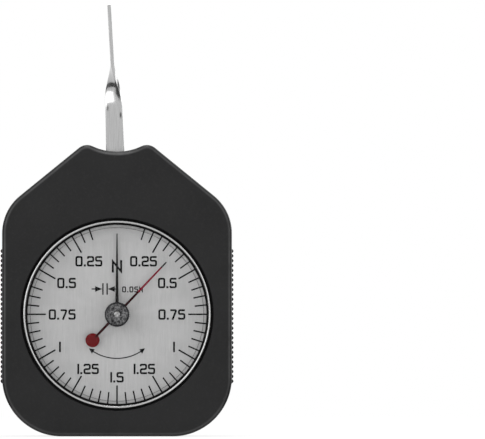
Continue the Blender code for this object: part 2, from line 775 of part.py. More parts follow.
def make_reset_knob():
    """The knob's side is fluted, and its front rim is chamfered."""
    outline = []
    for i in range(2 * KNOB_FLUTES):
        radius = KNOB_RADIUS - KNOB_FLUTE * (i % 2)
        outline.append(polar(dial_centre, radius, math.pi * i / KNOB_FLUTES))
    knob = flat("reset_knob", [outline], knob_front, knob_back, knob_metal, dial_centre,
                edge=-1, bevel=KNOB_CHAMFER)
    knob.modifiers["rounded_edge"].segments = 1
    cut(knob, hole("knob_bore", SPINDLE_RADIUS + FIT_GAP, knob_front - OVERRUN,
                   knob_back + OVERRUN, dial_centre))


def make_knob_spindle():
    rod("knob_spindle", SPINDLE_RADIUS, knob_front, peak_back, dial_centre, bright_steel)


def make_knob_washer():
    ring("knob_washer", SPINDLE_RADIUS + FIT_GAP, WASHER_RADIUS, washer_front, washer_back,
         dial_centre, spring_steel)


def make_spindle_retainer():
    ring("spindle_retainer", SPINDLE_RADIUS + FIT_GAP, RETAINER_RADIUS, retainer_front,
         retainer_front + RETAINER_THICKNESS, dial_centre, brass)


def needle(name, root_width, tip_width, reach, front, angle, material=None, start=0):
    """A tapered strip from the dial's centre, at an angle anticlockwise from +X."""
    half = root_width / 2
    tip = tip_width / 2
    points = [(start, -half), (reach, -tip), (reach, tip), (start, half)]
    outline = [
        turned_point((dial_centre[0] + x, dial_centre[1] + z), dial_centre, angle)
        for x, z in points
    ]
    return flat(name, [outline], front, front + NEEDLE_THICKNESS, material, dial_centre)


def make_peak_pointer():
    """The red hand: a thin needle and, on the other side, a tail with a round counterweight."""
    up = math.pi / 2 - PEAK_ANGLE
    hand = rod("peak_pointer", PEAK_HUB_RADIUS, peak_front, peak_back, dial_centre, red_paint)
    join(hand, needle("peak_needle", PEAK_WIDTH, PEAK_TIP_WIDTH, peak_reach, peak_front, up))
    join(hand, needle("peak_tail", PEAK_WIDTH, PEAK_WIDTH, PEAK_DISC_REACH, peak_front,
                      up + math.pi))
    disc = polar(dial_centre, PEAK_DISC_REACH, up + math.pi)
    join(hand, rod("peak_counterweight", PEAK_DISC_RADIUS, peak_front,
                   peak_front + 2 * NEEDLE_THICKNESS, disc))
    cut(hand, hole("peak_bore", SPINDLE_RADIUS + FIT_GAP, peak_front - OVERRUN,
                   peak_back + OVERRUN, dial_centre))


# The main pointer and its arbor

def make_main_pointer():
    """The black hand. The short pin in front of it carries the peak pointer along."""
    up = math.pi / 2
    hand = rod("main_pointer", POINTER_HUB_RADIUS, pointer_front, pointer_back, dial_centre,
               black_paint)
    join(hand, needle("pointer_needle", POINTER_WIDTH, POINTER_TIP_WIDTH, pointer_reach,
                      pointer_front, up))
    join(hand, needle("pointer_tail", POINTER_WIDTH, POINTER_WIDTH * 2, POINTER_TAIL,
                      pointer_front, up + math.pi))
    pin_front = peak_front + 2 * NEEDLE_THICKNESS + RUN_SPACE
    pin = polar(dial_centre, CARRY_PIN_REACH, up)
    join(hand, rod("carry_pin", CARRY_PIN_RADIUS, pin_front, pointer_front + NEEDLE_THICKNESS / 2,
                   pin, sides=PIN_SIDES // 2))
    cut(hand, hole("pointer_bore", ARBOR_FRONT_RADIUS + FIT_GAP, pointer_front - OVERRUN,
                   pointer_back + OVERRUN, dial_centre))


def tooth_half_angle(teeth, radius):
    """Half the angle that a tooth covers at a radius, from its involute flank."""
    pitch = MODULE * teeth / 2
    base = pitch * math.cos(PRESSURE_ANGLE)
    at_pitch = math.pi * (1 - BACKLASH_SHARE) / 2 / teeth
    involute = math.tan(PRESSURE_ANGLE) - PRESSURE_ANGLE
    if radius <= base:
        return at_pitch + involute
    angle = math.acos(base / radius)
    return at_pitch + involute - (math.tan(angle) - angle)


def tooth(centre, teeth, addendum_share, angle):
    """One tooth's points, anticlockwise, from its root to its tip and back to its root."""
    pitch = MODULE * teeth / 2
    base = pitch * math.cos(PRESSURE_ANGLE)
    root = pitch - MODULE * DEDENDUM_SHARE
    tip = pitch + MODULE * addendum_share
    start = max(root, base)
    radii = [root] if root < base else []
    radii += [start + (tip - start) * i / FLANK_STEPS for i in range(FLANK_STEPS + 1)]
    rising = []
    falling = []
    for radius in radii:
        half = tooth_half_angle(teeth, radius)
        rising.append(polar(centre, radius, angle - half))
        falling.append(polar(centre, radius, angle + half))
    return rising + falling[::-1]


def make_pinion_arbor():
    """The centre arbor and its pinion are one turned and cut piece. A gap faces the sector."""
    outline = []
    for i in range(PINION_TEETH):
        angle = math.pi / 2 + 2 * math.pi * (i + 0.5) / PINION_TEETH
        outline += tooth(dial_centre, PINION_TEETH, PINION_ADDENDUM_SHARE, angle)
    arbor = flat("pinion_arbor", [outline], sector_front - PINION_FACE_SPACE,
                 sector_back + PINION_FACE_SPACE, bright_steel, dial_centre)
    shoulder = main_plate_back + RUN_SPACE
    rear = back_plate_front - RUN_SPACE
    profile = [
        (0, pointer_front),
        (ARBOR_FRONT_RADIUS, pointer_front),
        (ARBOR_FRONT_RADIUS, shoulder),
        (ARBOR_RADIUS, shoulder),
        (ARBOR_RADIUS, rear),
        (ARBOR_REAR_RADIUS, rear),
        (ARBOR_REAR_RADIUS, back_plate_back),
        (0, back_plate_back),
    ]
    return join(arbor, turned("arbor_shaft", profile, dial_centre, sides=PIN_SIDES))


def make_sector_gear():
    """A toothed rim on two arms, with an open middle and a solid web under the lever."""
    outline = []
    first = -(sector_teeth_cut - 1) / 2
    for i in range(sector_teeth_cut):
        angle = (first + i) * tooth_angle - math.pi / 2
        outline += tooth(pivot, SECTOR_TEETH, SECTOR_ADDENDUM_SHARE, angle)
    hub, rim = sector_side()
    outline.append(rim)
    touch = math.atan2(hub[1] - pivot_z, hub[0])
    outline += arc(pivot, sector_hub_radius, touch, math.pi - touch)
    outline.append((-rim[0], rim[1]))
    gear = flat("sector_gear", [outline], sector_front, sector_back, brass, pivot)
    inner = sector_radius * SECTOR_WEB_SHARE
    outer = sector_root_radius - sector_radius * SECTOR_RIM_SHARE
    arm = sector_half_angle - math.asin(SECTOR_RIM_SHARE * sector_radius / outer)
    window = arc(pivot, outer, -arm - math.pi / 2, arm - math.pi / 2)
    window += arc(pivot, inner, arm - math.pi / 2, -arm - math.pi / 2)
    front = sector_front - OVERRUN
    back = sector_back + OVERRUN
    cut(gear, flat("sector_window", [window], front, back))
    cut(gear, hole("sector_bore", HUB_BOSS_RADIUS + FIT_GAP, front, back, pivot))
    for i, centre in enumerate(rivet_places()):
        cut(gear, hole(f"sector_rivet_hole_{i + 1}", RIVET_RADIUS + FIT_GAP, front, back, centre))
    cut(gear, hole("sector_pin_hole", SPRING_PIN_RADIUS + FIT_GAP, front, back,
                   lever_point(-LEVER_TAIL * SPRING_PIN_SHARE)))


# The lever

def lever_point(rise):
    """The middle of the lever at a height above its axle."""
    twist_start = notch_floor + TWIST_RISE - pivot_z
    straight = min(rise, twist_start)
    blade = rise - straight
    return (-straight * math.tan(LEVER_LEAN) - blade * math.tan(BLADE_LEAN), pivot_z + rise)


def rivet_places():
    return [lever_point(-LEVER_TAIL * share) for share in RIVET_SHARES]


def lever_section(width, turn):
    """Corners of the strip's section, chamfered, as (x, depth) about its middle."""
    a = width / 2
    b = LEVER_THICKNESS / 2
    c = LEVER_EDGE
    corners = [(a, b - c), (a - c, b), (c - a, b), (-a, b - c)]
    corners += [(-x, -y) for x, y in corners]
    return [turned_point(corner, (0, 0), turn) for corner in corners]


def make_lever():
    """A steel strip that is flat to the front at its axle and turned edge-on in a quarter twist."""
    twist_start = notch_floor + TWIST_RISE - pivot_z
    twist_end = twist_start + TWIST_LENGTH
    tip = twist_end + BLADE_LENGTH
    stations = [(-LEVER_TAIL, LEVER_WIDTH - 2 * LEVER_EDGE, 0)]
    stations.append((LEVER_EDGE - LEVER_TAIL, LEVER_WIDTH, 0))
    stations.append((0, LEVER_WIDTH, 0))
    for i in range(TWIST_STEPS + 1):
        along = i / TWIST_STEPS
        eased = along - math.sin(2 * math.pi * along) * TWIST_EASE_SHARE
        stations.append((twist_start + TWIST_LENGTH * along, LEVER_NECK_WIDTH, -eased * math.pi / 2))
    for i in range(TIP_STEPS + 1):
        round_off = math.pi / 2 * i / TIP_STEPS
        rise = tip - TIP_CORNER * (1 - math.sin(round_off))
        width = BLADE_TIP_WIDTH - 2 * TIP_CORNER * (1 - math.cos(round_off))
        stations.append((rise, width, -math.pi / 2))
    work = bmesh.new()
    rings = []
    for rise, width, turn in stations:
        middle = lever_point(rise)
        section = lever_section(width, turn)
        rings.append([work.verts.new((middle[0] + x, y, rise)) for x, y in section])
    for lower, upper in zip(rings, rings[1:]):
        for i in range(len(lower)):
            j = (i + 1) % len(lower)
            work.faces.new((lower[i], lower[j], upper[j], upper[i]))
    work.faces.new(rings[0][::-1])
    work.faces.new(rings[-1])
    bmesh.ops.recalc_face_normals(work, faces=work.faces)
    mesh = bpy.data.meshes.new("lever")
    work.to_mesh(mesh)
    work.free()
    smooth(mesh)
    lever = bpy.data.objects.new("lever", mesh)
    lever.location = (pivot[0], world_y((lever_front + lever_back) / 2), pivot_z)
    link(lever, bright_steel)
    front = lever_front - OVERRUN
    back = lever_back + OVERRUN
    cut(lever, hole("lever_bore", HUB_BOSS_RADIUS + FIT_GAP, front, back, pivot))
    for i, centre in enumerate(rivet_places()):
        cut(lever, hole(f"lever_rivet_hole_{i + 1}", RIVET_RADIUS + FIT_GAP, front, back, centre))
    cut(lever, hole("lever_pin_hole", SPRING_PIN_RADIUS + FIT_GAP, front, back,
                    lever_point(-LEVER_TAIL * SPRING_PIN_SHARE)))


def make_lever_axle():
    end = back_plate_back + RUN_SPACE + CLIP_THICKNESS + RUN_SPACE
    rod("lever_axle", AXLE_RADIUS, main_plate_front, end, pivot, bright_steel)


def make_lever_hub():
    bore = (AXLE_RADIUS + FIT_GAP) / math.cos(math.pi / ROD_SIDES)
    flange = lever_back + FIT_GAP
    end = back_plate_front - SEAT_GAP
    profile = [
        (bore, sector_front),
        (HUB_BOSS_RADIUS, sector_front),
        (HUB_BOSS_RADIUS, flange),
        (HUB_RADIUS, flange),
        (HUB_RADIUS, end),
        (bore, end),
    ]
    turned("lever_hub", profile, pivot, brass, closed=True)


def make_lever_rivet(number, centre):
    front = sector_front - FIT_GAP
    back = lever_back + FIT_GAP
    profile = [
        (0, front - RIVET_HEAD_THICKNESS),
        (RIVET_HEAD_RADIUS, front - RIVET_HEAD_THICKNESS),
        (RIVET_HEAD_RADIUS, front),
        (RIVET_RADIUS, front),
        (RIVET_RADIUS, back),
        (RIVET_HEAD_RADIUS, back),
        (RIVET_HEAD_RADIUS, back + RIVET_HEAD_THICKNESS),
        (0, back + RIVET_HEAD_THICKNESS),
    ]
    turned(f"lever_rivet_{number}", profile, centre, brass, PIN_SIDES)


def make_axle_clip():
    """An open spring clip behind the back plate."""
    inner = AXLE_RADIUS + FIT_GAP
    half = CLIP_OPENING / 2
    start = -math.pi / 2 + half
    end = 3 * math.pi / 2 - half
    outline = arc(pivot, inner + CLIP_WALL, start, end) + arc(pivot, inner, end, start)
    front = back_plate_back + RUN_SPACE
    flat("axle_clip", [outline], front, front + CLIP_THICKNESS, spring_steel, pivot)


def wire(name, points, radius, resolution, material):
    """A bent wire of round section through (x, depth, z) points."""
    curve = bpy.data.curves.new(name + "_path", "CURVE")
    curve.dimensions = "3D"
    curve.bevel_depth = radius
    curve.bevel_resolution = resolution
    curve.use_fill_caps = True
    spline = curve.splines.new("POLY")
    spline.points.add(len(points) - 1)
    for point, (x, depth, z) in zip(spline.points, points):
        point.co = (x, world_y(depth), z, 1)
    return link(as_mesh(bpy.data.objects.new(name + "_path", curve), name), material)


def make_lever_spring():
    """A coil round the lever's hub. Its two legs hold the lever's pin and the fixed post."""
    front = coil_front + SPRING_WIRE / 2
    beside = SPRING_PIN_RADIUS + FIT_GAP + SPRING_WIRE / 2
    reach = LEVER_TAIL + SPRING_POST_DROP + SPRING_LEG_SPARE
    bend = LEVER_TAIL * (SPRING_PIN_SHARE / 2)
    straight = bend / 3
    depth_end = front + SPRING_TURNS * SPRING_PITCH
    leg = [(beside, reach), (beside, bend), (SPRING_COIL_RADIUS, straight)]
    points = [(-x, front, pivot_z - z) for x, z in leg]
    steps = round(SPRING_TURNS * SPRING_STEPS)
    for i in range(steps + 1):
        angle = math.pi - 2 * math.pi * SPRING_TURNS * i / steps
        x, z = polar(pivot, SPRING_COIL_RADIUS, angle)
        points.append((x, front + SPRING_TURNS * SPRING_PITCH * i / steps, z))
    points += [(x, depth_end, pivot_z - z) for x, z in reversed(leg)]
    wire("lever_spring", points, SPRING_WIRE / 2, 2, spring_steel)


def make_spring_pins():
    centre = lever_point(-LEVER_TAIL * SPRING_PIN_SHARE)
    rod("lever_spring_pin", SPRING_PIN_RADIUS, sector_front, coil_back, centre, bright_steel)
    rod("spring_post", SPRING_PIN_RADIUS, coil_front, back_plate_back, spring_post, bright_steel)


# The hairspring

def make_hairspring():
    """A flat spiral from the collet on the arbor out to the stud on the back plate."""
    points = []
    steps = round(HAIR_TURNS * HAIR_STEPS)
    for i in range(steps + 1):
        along = i / steps
        radius = hair_start + (hair_end - hair_start) * along
        angle = hair_stud_angle - 2 * math.pi * HAIR_TURNS * (1 - along)
        points.append((polar(dial_centre, radius, angle), radius, angle))
    outer = [polar(dial_centre, r + HAIR_THICKNESS / 2, a) for _, r, a in points]
    inner = [polar(dial_centre, r - HAIR_THICKNESS / 2, a) for _, r, a in points]
    front = hair_middle - HAIR_WIDTH / 2
    flat("hairspring", [outer + inner[::-1]], front, front + HAIR_WIDTH, spring_steel,
         dial_centre)


def make_hairspring_mounts():
    front = hair_middle - COLLET_HEIGHT / 2
    bore = ARBOR_RADIUS + FIT_GAP
    ring("hairspring_collet", bore, bore + COLLET_WALL, front, front + COLLET_HEIGHT,
         dial_centre, brass)
    rod("hairspring_stud", STUD_RADIUS, front, back_plate_back, hair_stud, brass, PIN_SIDES)


# The movement frame

def main_plate_outline():
    """A disc behind the dial with a straight tongue up to the lever's axle."""
    rise = math.sqrt(main_plate_radius ** 2 - plate_half_width ** 2)
    meet = math.atan2(rise, plate_half_width)
    points = arc(dial_centre, main_plate_radius, -math.pi - meet, meet)
    x = plate_half_width - PLATE_CORNER_RADIUS
    z = plate_top - PLATE_CORNER_RADIUS
    points += arc((x, z), PLATE_CORNER_RADIUS, 0, math.pi / 2)
    points += arc((-x, z), PLATE_CORNER_RADIUS, math.pi / 2, math.pi)
    return points


def back_plate_outline():
    bottom = dial_z - PLATE_TAIL
    middle = (0, (plate_top + bottom) / 2)
    return rounded_box(middle, 2 * plate_half_width, plate_top - bottom, PLATE_CORNER_RADIUS)


def make_main_plate():
    plate = flat("main_plate", [main_plate_outline()], main_plate_front, main_plate_back, brass)
    front = main_plate_front - OVERRUN
    back = main_plate_back + OVERRUN
    arbor_bush = ARBOR_FRONT_RADIUS + RUN_GAP + BUSH_WALL
    axle_bush = AXLE_RADIUS + RUN_GAP + BUSH_WALL
    cut(plate, hole("main_arbor_hole", arbor_bush + FIT_GAP, front, back, dial_centre))
    cut(plate, hole("main_axle_hole", axle_bush + FIT_GAP, front, back, pivot))
    for where, centre in pillars.items():
        cut(plate, hole("main_tenon_hole_" + where, PILLAR_TENON_RADIUS + FIT_GAP, front, back,
                        centre, PIN_SIDES))
    for i, angle in enumerate(MOVEMENT_SCREW_ANGLES):
        centre = polar(dial_centre, movement_screw_radius, angle)
        cut(plate, hole(f"main_screw_hole_{i + 1}", SMALL_SHANK_RADIUS + FIT_GAP, front, back,
                        centre, PIN_SIDES))
    for side, where in ((-1, "left"), (1, "right")):
        cut(plate, hole("main_stop_hole_" + where, STOP_PIN_RADIUS + FIT_GAP, front, back,
                        (side * stop_pin[0], stop_pin[1]), PIN_SIDES))
    ring("arbor_bush_front", ARBOR_FRONT_RADIUS + RUN_GAP, arbor_bush, main_plate_front,
         main_plate_back, dial_centre, bronze)
    ring("axle_bush_front", AXLE_RADIUS + RUN_GAP, axle_bush, main_plate_front,
         main_plate_back, pivot, bronze)


def make_back_plate():
    plate = flat("back_plate", [back_plate_outline()], back_plate_front, back_plate_back, brass)
    front = back_plate_front - OVERRUN
    back = back_plate_back + OVERRUN
    arbor_bush = ARBOR_REAR_RADIUS + RUN_GAP + BUSH_WALL
    axle_bush = AXLE_RADIUS + RUN_GAP + BUSH_WALL
    cut(plate, hole("back_arbor_hole", arbor_bush + FIT_GAP, front, back, dial_centre))
    cut(plate, hole("back_axle_hole", axle_bush + FIT_GAP, front, back, pivot))
    cut(plate, hole("back_post_hole", SPRING_PIN_RADIUS + FIT_GAP, front, back, spring_post))
    cut(plate, hole("back_stud_hole", STUD_RADIUS + FIT_GAP, front, back, hair_stud, PIN_SIDES))
    for where, centre in pillars.items():
        cut(plate, hole("back_screw_hole_" + where, SMALL_SHANK_RADIUS + FIT_GAP, front, back,
                        centre, PIN_SIDES))
    for side, where in ((-1, "left"), (1, "right")):
        cut(plate, hole("back_stop_hole_" + where, STOP_PIN_RADIUS + FIT_GAP, front, back,
                        (side * stop_pin[0], stop_pin[1]), PIN_SIDES))
    ring("arbor_bush_back", ARBOR_REAR_RADIUS + RUN_GAP, arbor_bush, back_plate_front,
         back_plate_back, dial_centre, bronze)
    ring("axle_bush_back", AXLE_RADIUS + RUN_GAP, axle_bush, back_plate_front,
         back_plate_back, pivot, bronze)


def make_pillar(where, centre):
    """A spacer with a riveted tenon in front and a tapped hole behind."""
    bore = (SMALL_SHANK_RADIUS + FIT_GAP) / math.cos(math.pi / PIN_SIDES)
    floor = back_plate_front - SMALL_SHANK_LENGTH - SEAT_GAP
    profile = [
        (0, main_plate_front),
        (PILLAR_TENON_RADIUS, main_plate_front),
        (PILLAR_TENON_RADIUS, main_plate_back + FIT_GAP),
        (PILLAR_RADIUS, main_plate_back + FIT_GAP),
        (PILLAR_RADIUS, back_plate_front - FIT_GAP),
        (bore, back_plate_front - FIT_GAP),
        (bore, floor),
        (0, floor),
    ]
    turned("pillar_" + where, profile, centre, brass, PIN_SIDES)


def small_screw(name, plate_front, plate_back, centre, turn):
    """A slotted cheese head screw, driven in from the back through one plate."""
    seat = plate_back + FIT_GAP
    top = seat + SMALL_HEAD_HEIGHT
    profile = [
        (0, plate_front - SMALL_SHANK_LENGTH),
        (SMALL_SHANK_RADIUS, plate_front - SMALL_SHANK_LENGTH),
        (SMALL_SHANK_RADIUS, seat),
        (SMALL_HEAD_RADIUS, seat),
        (SMALL_HEAD_RADIUS, top),
        (0, top),
    ]
    screw = turned(name, profile, centre, screw_steel, PIN_SIDES)
    a = SMALL_SLOT_WIDTH / 2
    b = SMALL_HEAD_RADIUS + OVERRUN
    corners = [(b, -a), (b, a), (-b, a), (-b, -a)]
    outline = [turned_point((centre[0] + x, centre[1] + z), centre, turn) for x, z in corners]
    floor = top - SMALL_HEAD_HEIGHT * SMALL_SLOT_SHARE
    cut(screw, flat(name + "_slot", [outline], floor, top + OVERRUN))


def make_stop_pins():
    for side, where in ((-1, "left"), (1, "right")):
        centre = (side * stop_pin[0], stop_pin[1])
        rod("stop_pin_" + where, STOP_PIN_RADIUS, main_plate_front, back_plate_back, centre,
            bright_steel, PIN_SIDES)


def make_movement_frame():
    make_main_plate()
    make_back_plate()
    for turn, (where, centre) in enumerate(pillars.items()):
        make_pillar(where, centre)
        small_screw("pillar_screw_" + where, back_plate_front, back_plate_back, centre, turn)
    for i, angle in enumerate(MOVEMENT_SCREW_ANGLES):
        centre = polar(dial_centre, movement_screw_radius, angle)
        small_screw(f"movement_screw_{i + 1}", main_plate_front, main_plate_back, centre, angle)
    make_stop_pins()


def make_case():
    make_front_shell()
    make_back_cover()
    make_label()
    for turn, (where, centre) in zip(COVER_SCREW_TURNS, cover_screws.items()):
        make_cover_screw(where, centre, turn)


def make_window():
    make_crystal()
    make_gasket()
    make_bezel_ring()
    make_dial()


def make_peak_hand():
    make_reset_knob()
    make_knob_spindle()
    make_knob_washer()
    make_spindle_retainer()
    make_peak_pointer()


def make_main_hand():
    make_main_pointer()
    make_pinion_arbor()
    make_hairspring()
    make_hairspring_mounts()


def make_lever_group():
    make_lever()
    make_sector_gear()
    make_lever_axle()
    make_lever_hub()
    for i, centre in enumerate(rivet_places()):
        make_lever_rivet(i + 1, centre)
    make_axle_clip()
    make_lever_spring()
    make_spring_pins()


for old in list(bpy.data.objects):
    bpy.data.objects.remove(old)
parts = new_collection("dial_tension_gauge")
cutters = new_collection("cutters")

black_shell = new_material("black_shell", (0.030, 0.030, 0.031), 0.45)
black_cover = new_material("black_cover", (0.019, 0.019, 0.020), 0.50)
label_print = new_material("label", (0.62, 0.62, 0.62), 0.55)
screw_steel = new_material("screw_steel", (0.55, 0.55, 0.54), 0.30, 1.0)
clear_acrylic = new_material("clear_acrylic", (0.95, 0.96, 0.96), 0.05, 0.0, 0.25)
black_rubber = new_material("black_rubber", (0.012, 0.012, 0.012), 0.70)
bright_ring = new_material("bright_ring", (0.75, 0.75, 0.74), 0.20, 1.0)
dial_silver = new_material("dial_silver", (0.46, 0.46, 0.46), 0.40, 0.3)
knob_metal = new_material("knob_metal", (0.12, 0.12, 0.12), 0.45, 0.8)
red_paint = new_material("red_paint", (0.22, 0.012, 0.020), 0.45)
black_paint = new_material("black_paint", (0.010, 0.010, 0.010), 0.40)
bright_steel = new_material("bright_steel", (0.62, 0.62, 0.61), 0.22, 1.0)
spring_steel = new_material("spring_steel", (0.35, 0.36, 0.38), 0.35, 1.0)
brass = new_material("brass", (0.60, 0.43, 0.18), 0.35, 1.0)
bronze = new_material("bronze", (0.45, 0.26, 0.12), 0.40, 1.0)

make_case()
make_window()
make_peak_hand()
make_main_hand()
make_lever_group()
make_movement_frame()
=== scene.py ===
import json
import math

import bmesh
import bpy
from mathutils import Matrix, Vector


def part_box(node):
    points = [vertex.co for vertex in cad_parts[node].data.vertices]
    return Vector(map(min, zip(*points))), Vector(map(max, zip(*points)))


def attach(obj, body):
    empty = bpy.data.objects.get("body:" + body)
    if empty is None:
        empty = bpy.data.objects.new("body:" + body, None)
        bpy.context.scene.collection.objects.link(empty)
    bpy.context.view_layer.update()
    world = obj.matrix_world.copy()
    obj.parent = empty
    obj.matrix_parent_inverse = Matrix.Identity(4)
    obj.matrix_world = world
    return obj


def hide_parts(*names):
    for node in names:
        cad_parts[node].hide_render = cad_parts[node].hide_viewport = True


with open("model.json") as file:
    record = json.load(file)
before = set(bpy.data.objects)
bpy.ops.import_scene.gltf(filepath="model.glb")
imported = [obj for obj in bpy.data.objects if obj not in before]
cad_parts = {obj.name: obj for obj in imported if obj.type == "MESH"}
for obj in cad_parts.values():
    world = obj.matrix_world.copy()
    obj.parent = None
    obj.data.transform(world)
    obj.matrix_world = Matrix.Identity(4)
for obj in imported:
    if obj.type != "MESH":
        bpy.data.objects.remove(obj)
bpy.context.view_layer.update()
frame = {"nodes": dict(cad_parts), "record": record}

MM = 0.001
CASE = "case"
LEVER = "lever"
PEAK = "peak_hand"
rad = math.radians

# Fits shared with the CAD source, in metres
SEAT_GAP = 0.3 * MM
FIT_GAP = 0.1 * MM
SLOT_GAP = 0.45 * MM
SPRING_SPACE = 0.6 * MM
OVERRUN = 1.0 * MM

# Sizes shared with the CAD source, lengths in metres
HALF_WIDTH = 31.0 * MM
FOOT_R = 16.0 * MM
SHOULDER_R = 13.0 * MM
SLOPE = rad(39.1)
HORN_R = 3.54 * MM
NOTCH_R = 15.4 * MM
CASE_TOP = 78.6 * MM
NOTCH_FLOOR = CASE_TOP - 1.8 * MM
WALL = 2.2 * MM
FRONT_WALL = 2.4 * MM
COVER_WALL = 1.8 * MM
WINDOW_LEDGE = 1.8 * MM
COLLAR_WALL = 1.6 * MM
BEZEL_WIDTH = 0.65 * MM
BEZEL_SIDE_GAP = 0.65 * MM
FRONT_EDGE_R = 1.2 * MM
BACK_EDGE_R = 1.0 * MM
DIAL_Z = 32.9 * MM
PIVOT_Z = 61.7 * MM
STRIP_WIDTH = 5.4 * MM
STRIP_THICK = 0.95 * MM
LABEL_WIDTH = 40 * MM
LABEL_HEIGHT = 20 * MM
LABEL_R = 1.8 * MM

# Depths of the pieces, from the frame
FRONT_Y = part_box("front_shell")[0].y
SHELL_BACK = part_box("front_shell")[1].y
COVER_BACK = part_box("back_cover")[1].y
COVER_FRONT = SHELL_BACK + SEAT_GAP
DIAL_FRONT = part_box("dial_plate")[0].y

# How far the cross of each cover screw is turned, in degrees
SCREW_TURNS = {"upper_left": 68, "upper_right": 100, "lower_left": 52, "lower_right": 65}

# How finely round shapes are cut
ARC_STEP = rad(3.5)
BEZEL_SIDES = 192
WINDOW_SIDES = 160
SMALL_SIDES = 48

# The photo's width in pixels, a pixel in mm, and the column of the front view's middle
PHOTO_WIDTH = 485
PIXEL = 0.2696
AXIS_COLUMN = 117


# Helpers for meshes

def placed(name, data):
    """A new object in the scene."""
    obj = bpy.data.objects.new(name, data)
    bpy.context.scene.collection.objects.link(obj)
    return obj


def shade(obj, angle):
    """Smooth inside an angle, with large flat faces keeping their normals beside narrow edges."""
    obj.data.shade_smooth()
    obj.data.set_sharp_from_angle(angle=rad(angle))
    normals = obj.modifiers.new("normals", "WEIGHTED_NORMAL")
    normals.keep_sharp = True
    normals.weight = 100


def mesh_of(name, bm):
    """Turns a bmesh into a mesh whose faces look outwards."""
    bmesh.ops.recalc_face_normals(bm, faces=bm.faces)
    mesh = bpy.data.meshes.new(name)
    bm.to_mesh(mesh)
    bm.free()
    return mesh


def mesh_object(name, bm, mats, body, smooth_angle=35, merge=True):
    """A piece in one material or in a list of them, riding on a body if it has one."""
    if merge:
        bmesh.ops.remove_doubles(bm, verts=bm.verts, dist=1e-7)
    obj = placed(name, mesh_of(name, bm))
    for mat in mats if isinstance(mats, list) else [mats]:
        obj.data.materials.append(mat)
    if body:
        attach(obj, body)
    shade(obj, smooth_angle)
    return obj


def polar(r, angle, cx=0.0, cz=0.0):
    """The flat point at a distance and an angle from a centre."""
    return cx + r * math.cos(angle), cz + r * math.sin(angle)


def at_depth(points, y):
    """Flat points (x, z) as world points at one depth."""
    return [(x, y, z) for x, z in points]


def turned(points, angle, cx, cz):
    """Flat points turned about nought and then moved."""
    c, s = math.cos(angle), math.sin(angle)
    return [(cx + c * x - s * z, cz + s * x + c * z) for x, z in points]


def circle(cx, cz, r, sides):
    """Flat points round a whole circle."""
    return [polar(r, 2 * math.pi * i / sides, cx, cz) for i in range(sides)]


def shares(count):
    """Even steps up to one, as shares of the way."""
    return [i / count for i in range(1, count + 1)]


def arc(cx, cz, r, a0, a1):
    """Flat points along an arc, with both its ends."""
    n = max(2, round(abs(a1 - a0) / ARC_STEP))
    return [polar(r, a0 + (a1 - a0) * i / n, cx, cz) for i in range(n + 1)]


def centre(box):
    """The middle (x, z) of a box."""
    low, high = box
    return (low.x + high.x) / 2, (low.z + high.z) / 2


def case_points(inset=0.0):
    """The case's outline moved inwards; the same number of points at every inset."""
    sx, sz = math.sin(SLOPE), math.cos(SLOPE)
    nz = NOTCH_FLOOR + NOTCH_R
    hz = CASE_TOP - HORN_R
    hx = math.sqrt((HORN_R + NOTCH_R) ** 2 - (nz - hz) ** 2)
    d = sx * hx + sz * hz + HORN_R
    gx = HALF_WIDTH - SHOULDER_R
    gz = (d - SHOULDER_R - sx * gx) / sz
    slant = math.pi / 2 - SLOPE
    to_notch = math.atan2(nz - hz, -hx)
    horn = max(HORN_R - inset, 0.02 * MM)
    right = arc(HALF_WIDTH - FOOT_R, FOOT_R, FOOT_R - inset, -math.pi / 2, 0)
    right += arc(gx, gz, SHOULDER_R - inset, 0, slant)
    right += arc(hx, hz, horn, slant, to_notch)[:-1]
    right += arc(0, nz, NOTCH_R + inset, to_notch - math.pi, -math.pi / 2)[:-1]
    left = [(-x, z) for x, z in reversed(right)]
    return right + [(0, NOTCH_FLOOR - inset)] + left


def bridge(bm, a, b):
    """Faces between two rings of vertices, of which one may be a single point."""
    n = max(len(a), len(b))
    for i in range(n):
        j = (i + 1) % n
        if len(a) == 1:
            bm.faces.new((a[0], b[j], b[i]))
        elif len(b) == 1:
            bm.faces.new((a[i], a[j], b[0]))
        else:
            bm.faces.new((a[i], a[j], b[j], b[i]))


def loft(bm, rings, close_ends=True, loop=False, painted_highlight=None):
    """Joins rings of world points into a skin. Each ring has the same number of points."""
    # Where given, each ring's share of the painted edge highlight goes in a vertex layer.
    layer = bm.verts.layers.float.new("painted_highlight") if painted_highlight else None
    made = [[bm.verts.new(p) for p in ring] for ring in rings]
    if painted_highlight:
        for ring, value in zip(made, painted_highlight):
            for vert in ring:
                vert[layer] = value
    for a, b in zip(made, made[1:]):
        bridge(bm, a, b)
    if loop:
        bridge(bm, made[-1], made[0])
    elif close_ends:
        bm.faces.new(made[0])
        bm.faces.new(made[-1][::-1])
    return made


def lathe(bm, profile, cx, cz, sides, closed=False):
    """Turns (radius, y) pairs about a Y axis through (cx, cz)."""
    rings = []
    for r, y in profile:
        points = at_depth(circle(cx, cz, r, sides) if r else [(cx, cz)], y)
        rings.append([bm.verts.new(p) for p in points])
    for a, b in zip(rings, rings[1:]):
        bridge(bm, a, b)
    if closed:
        bridge(bm, rings[-1], rings[0])


def prism_bm(points, y0, y1):
    """A flat outline stretched from one depth to another."""
    bm = bmesh.new()
    loft(bm, [at_depth(points, y) for y in (y0, y1)])
    return bm


def box_bm(x0, x1, y0, y1, z0, z1):
    return prism_bm([(x0, z0), (x1, z0), (x1, z1), (x0, z1)], y0, y1)


def disc_bm(r, y0, y1, cx, cz, sides):
    return prism_bm(circle(cx, cz, r, sides), y0, y1)


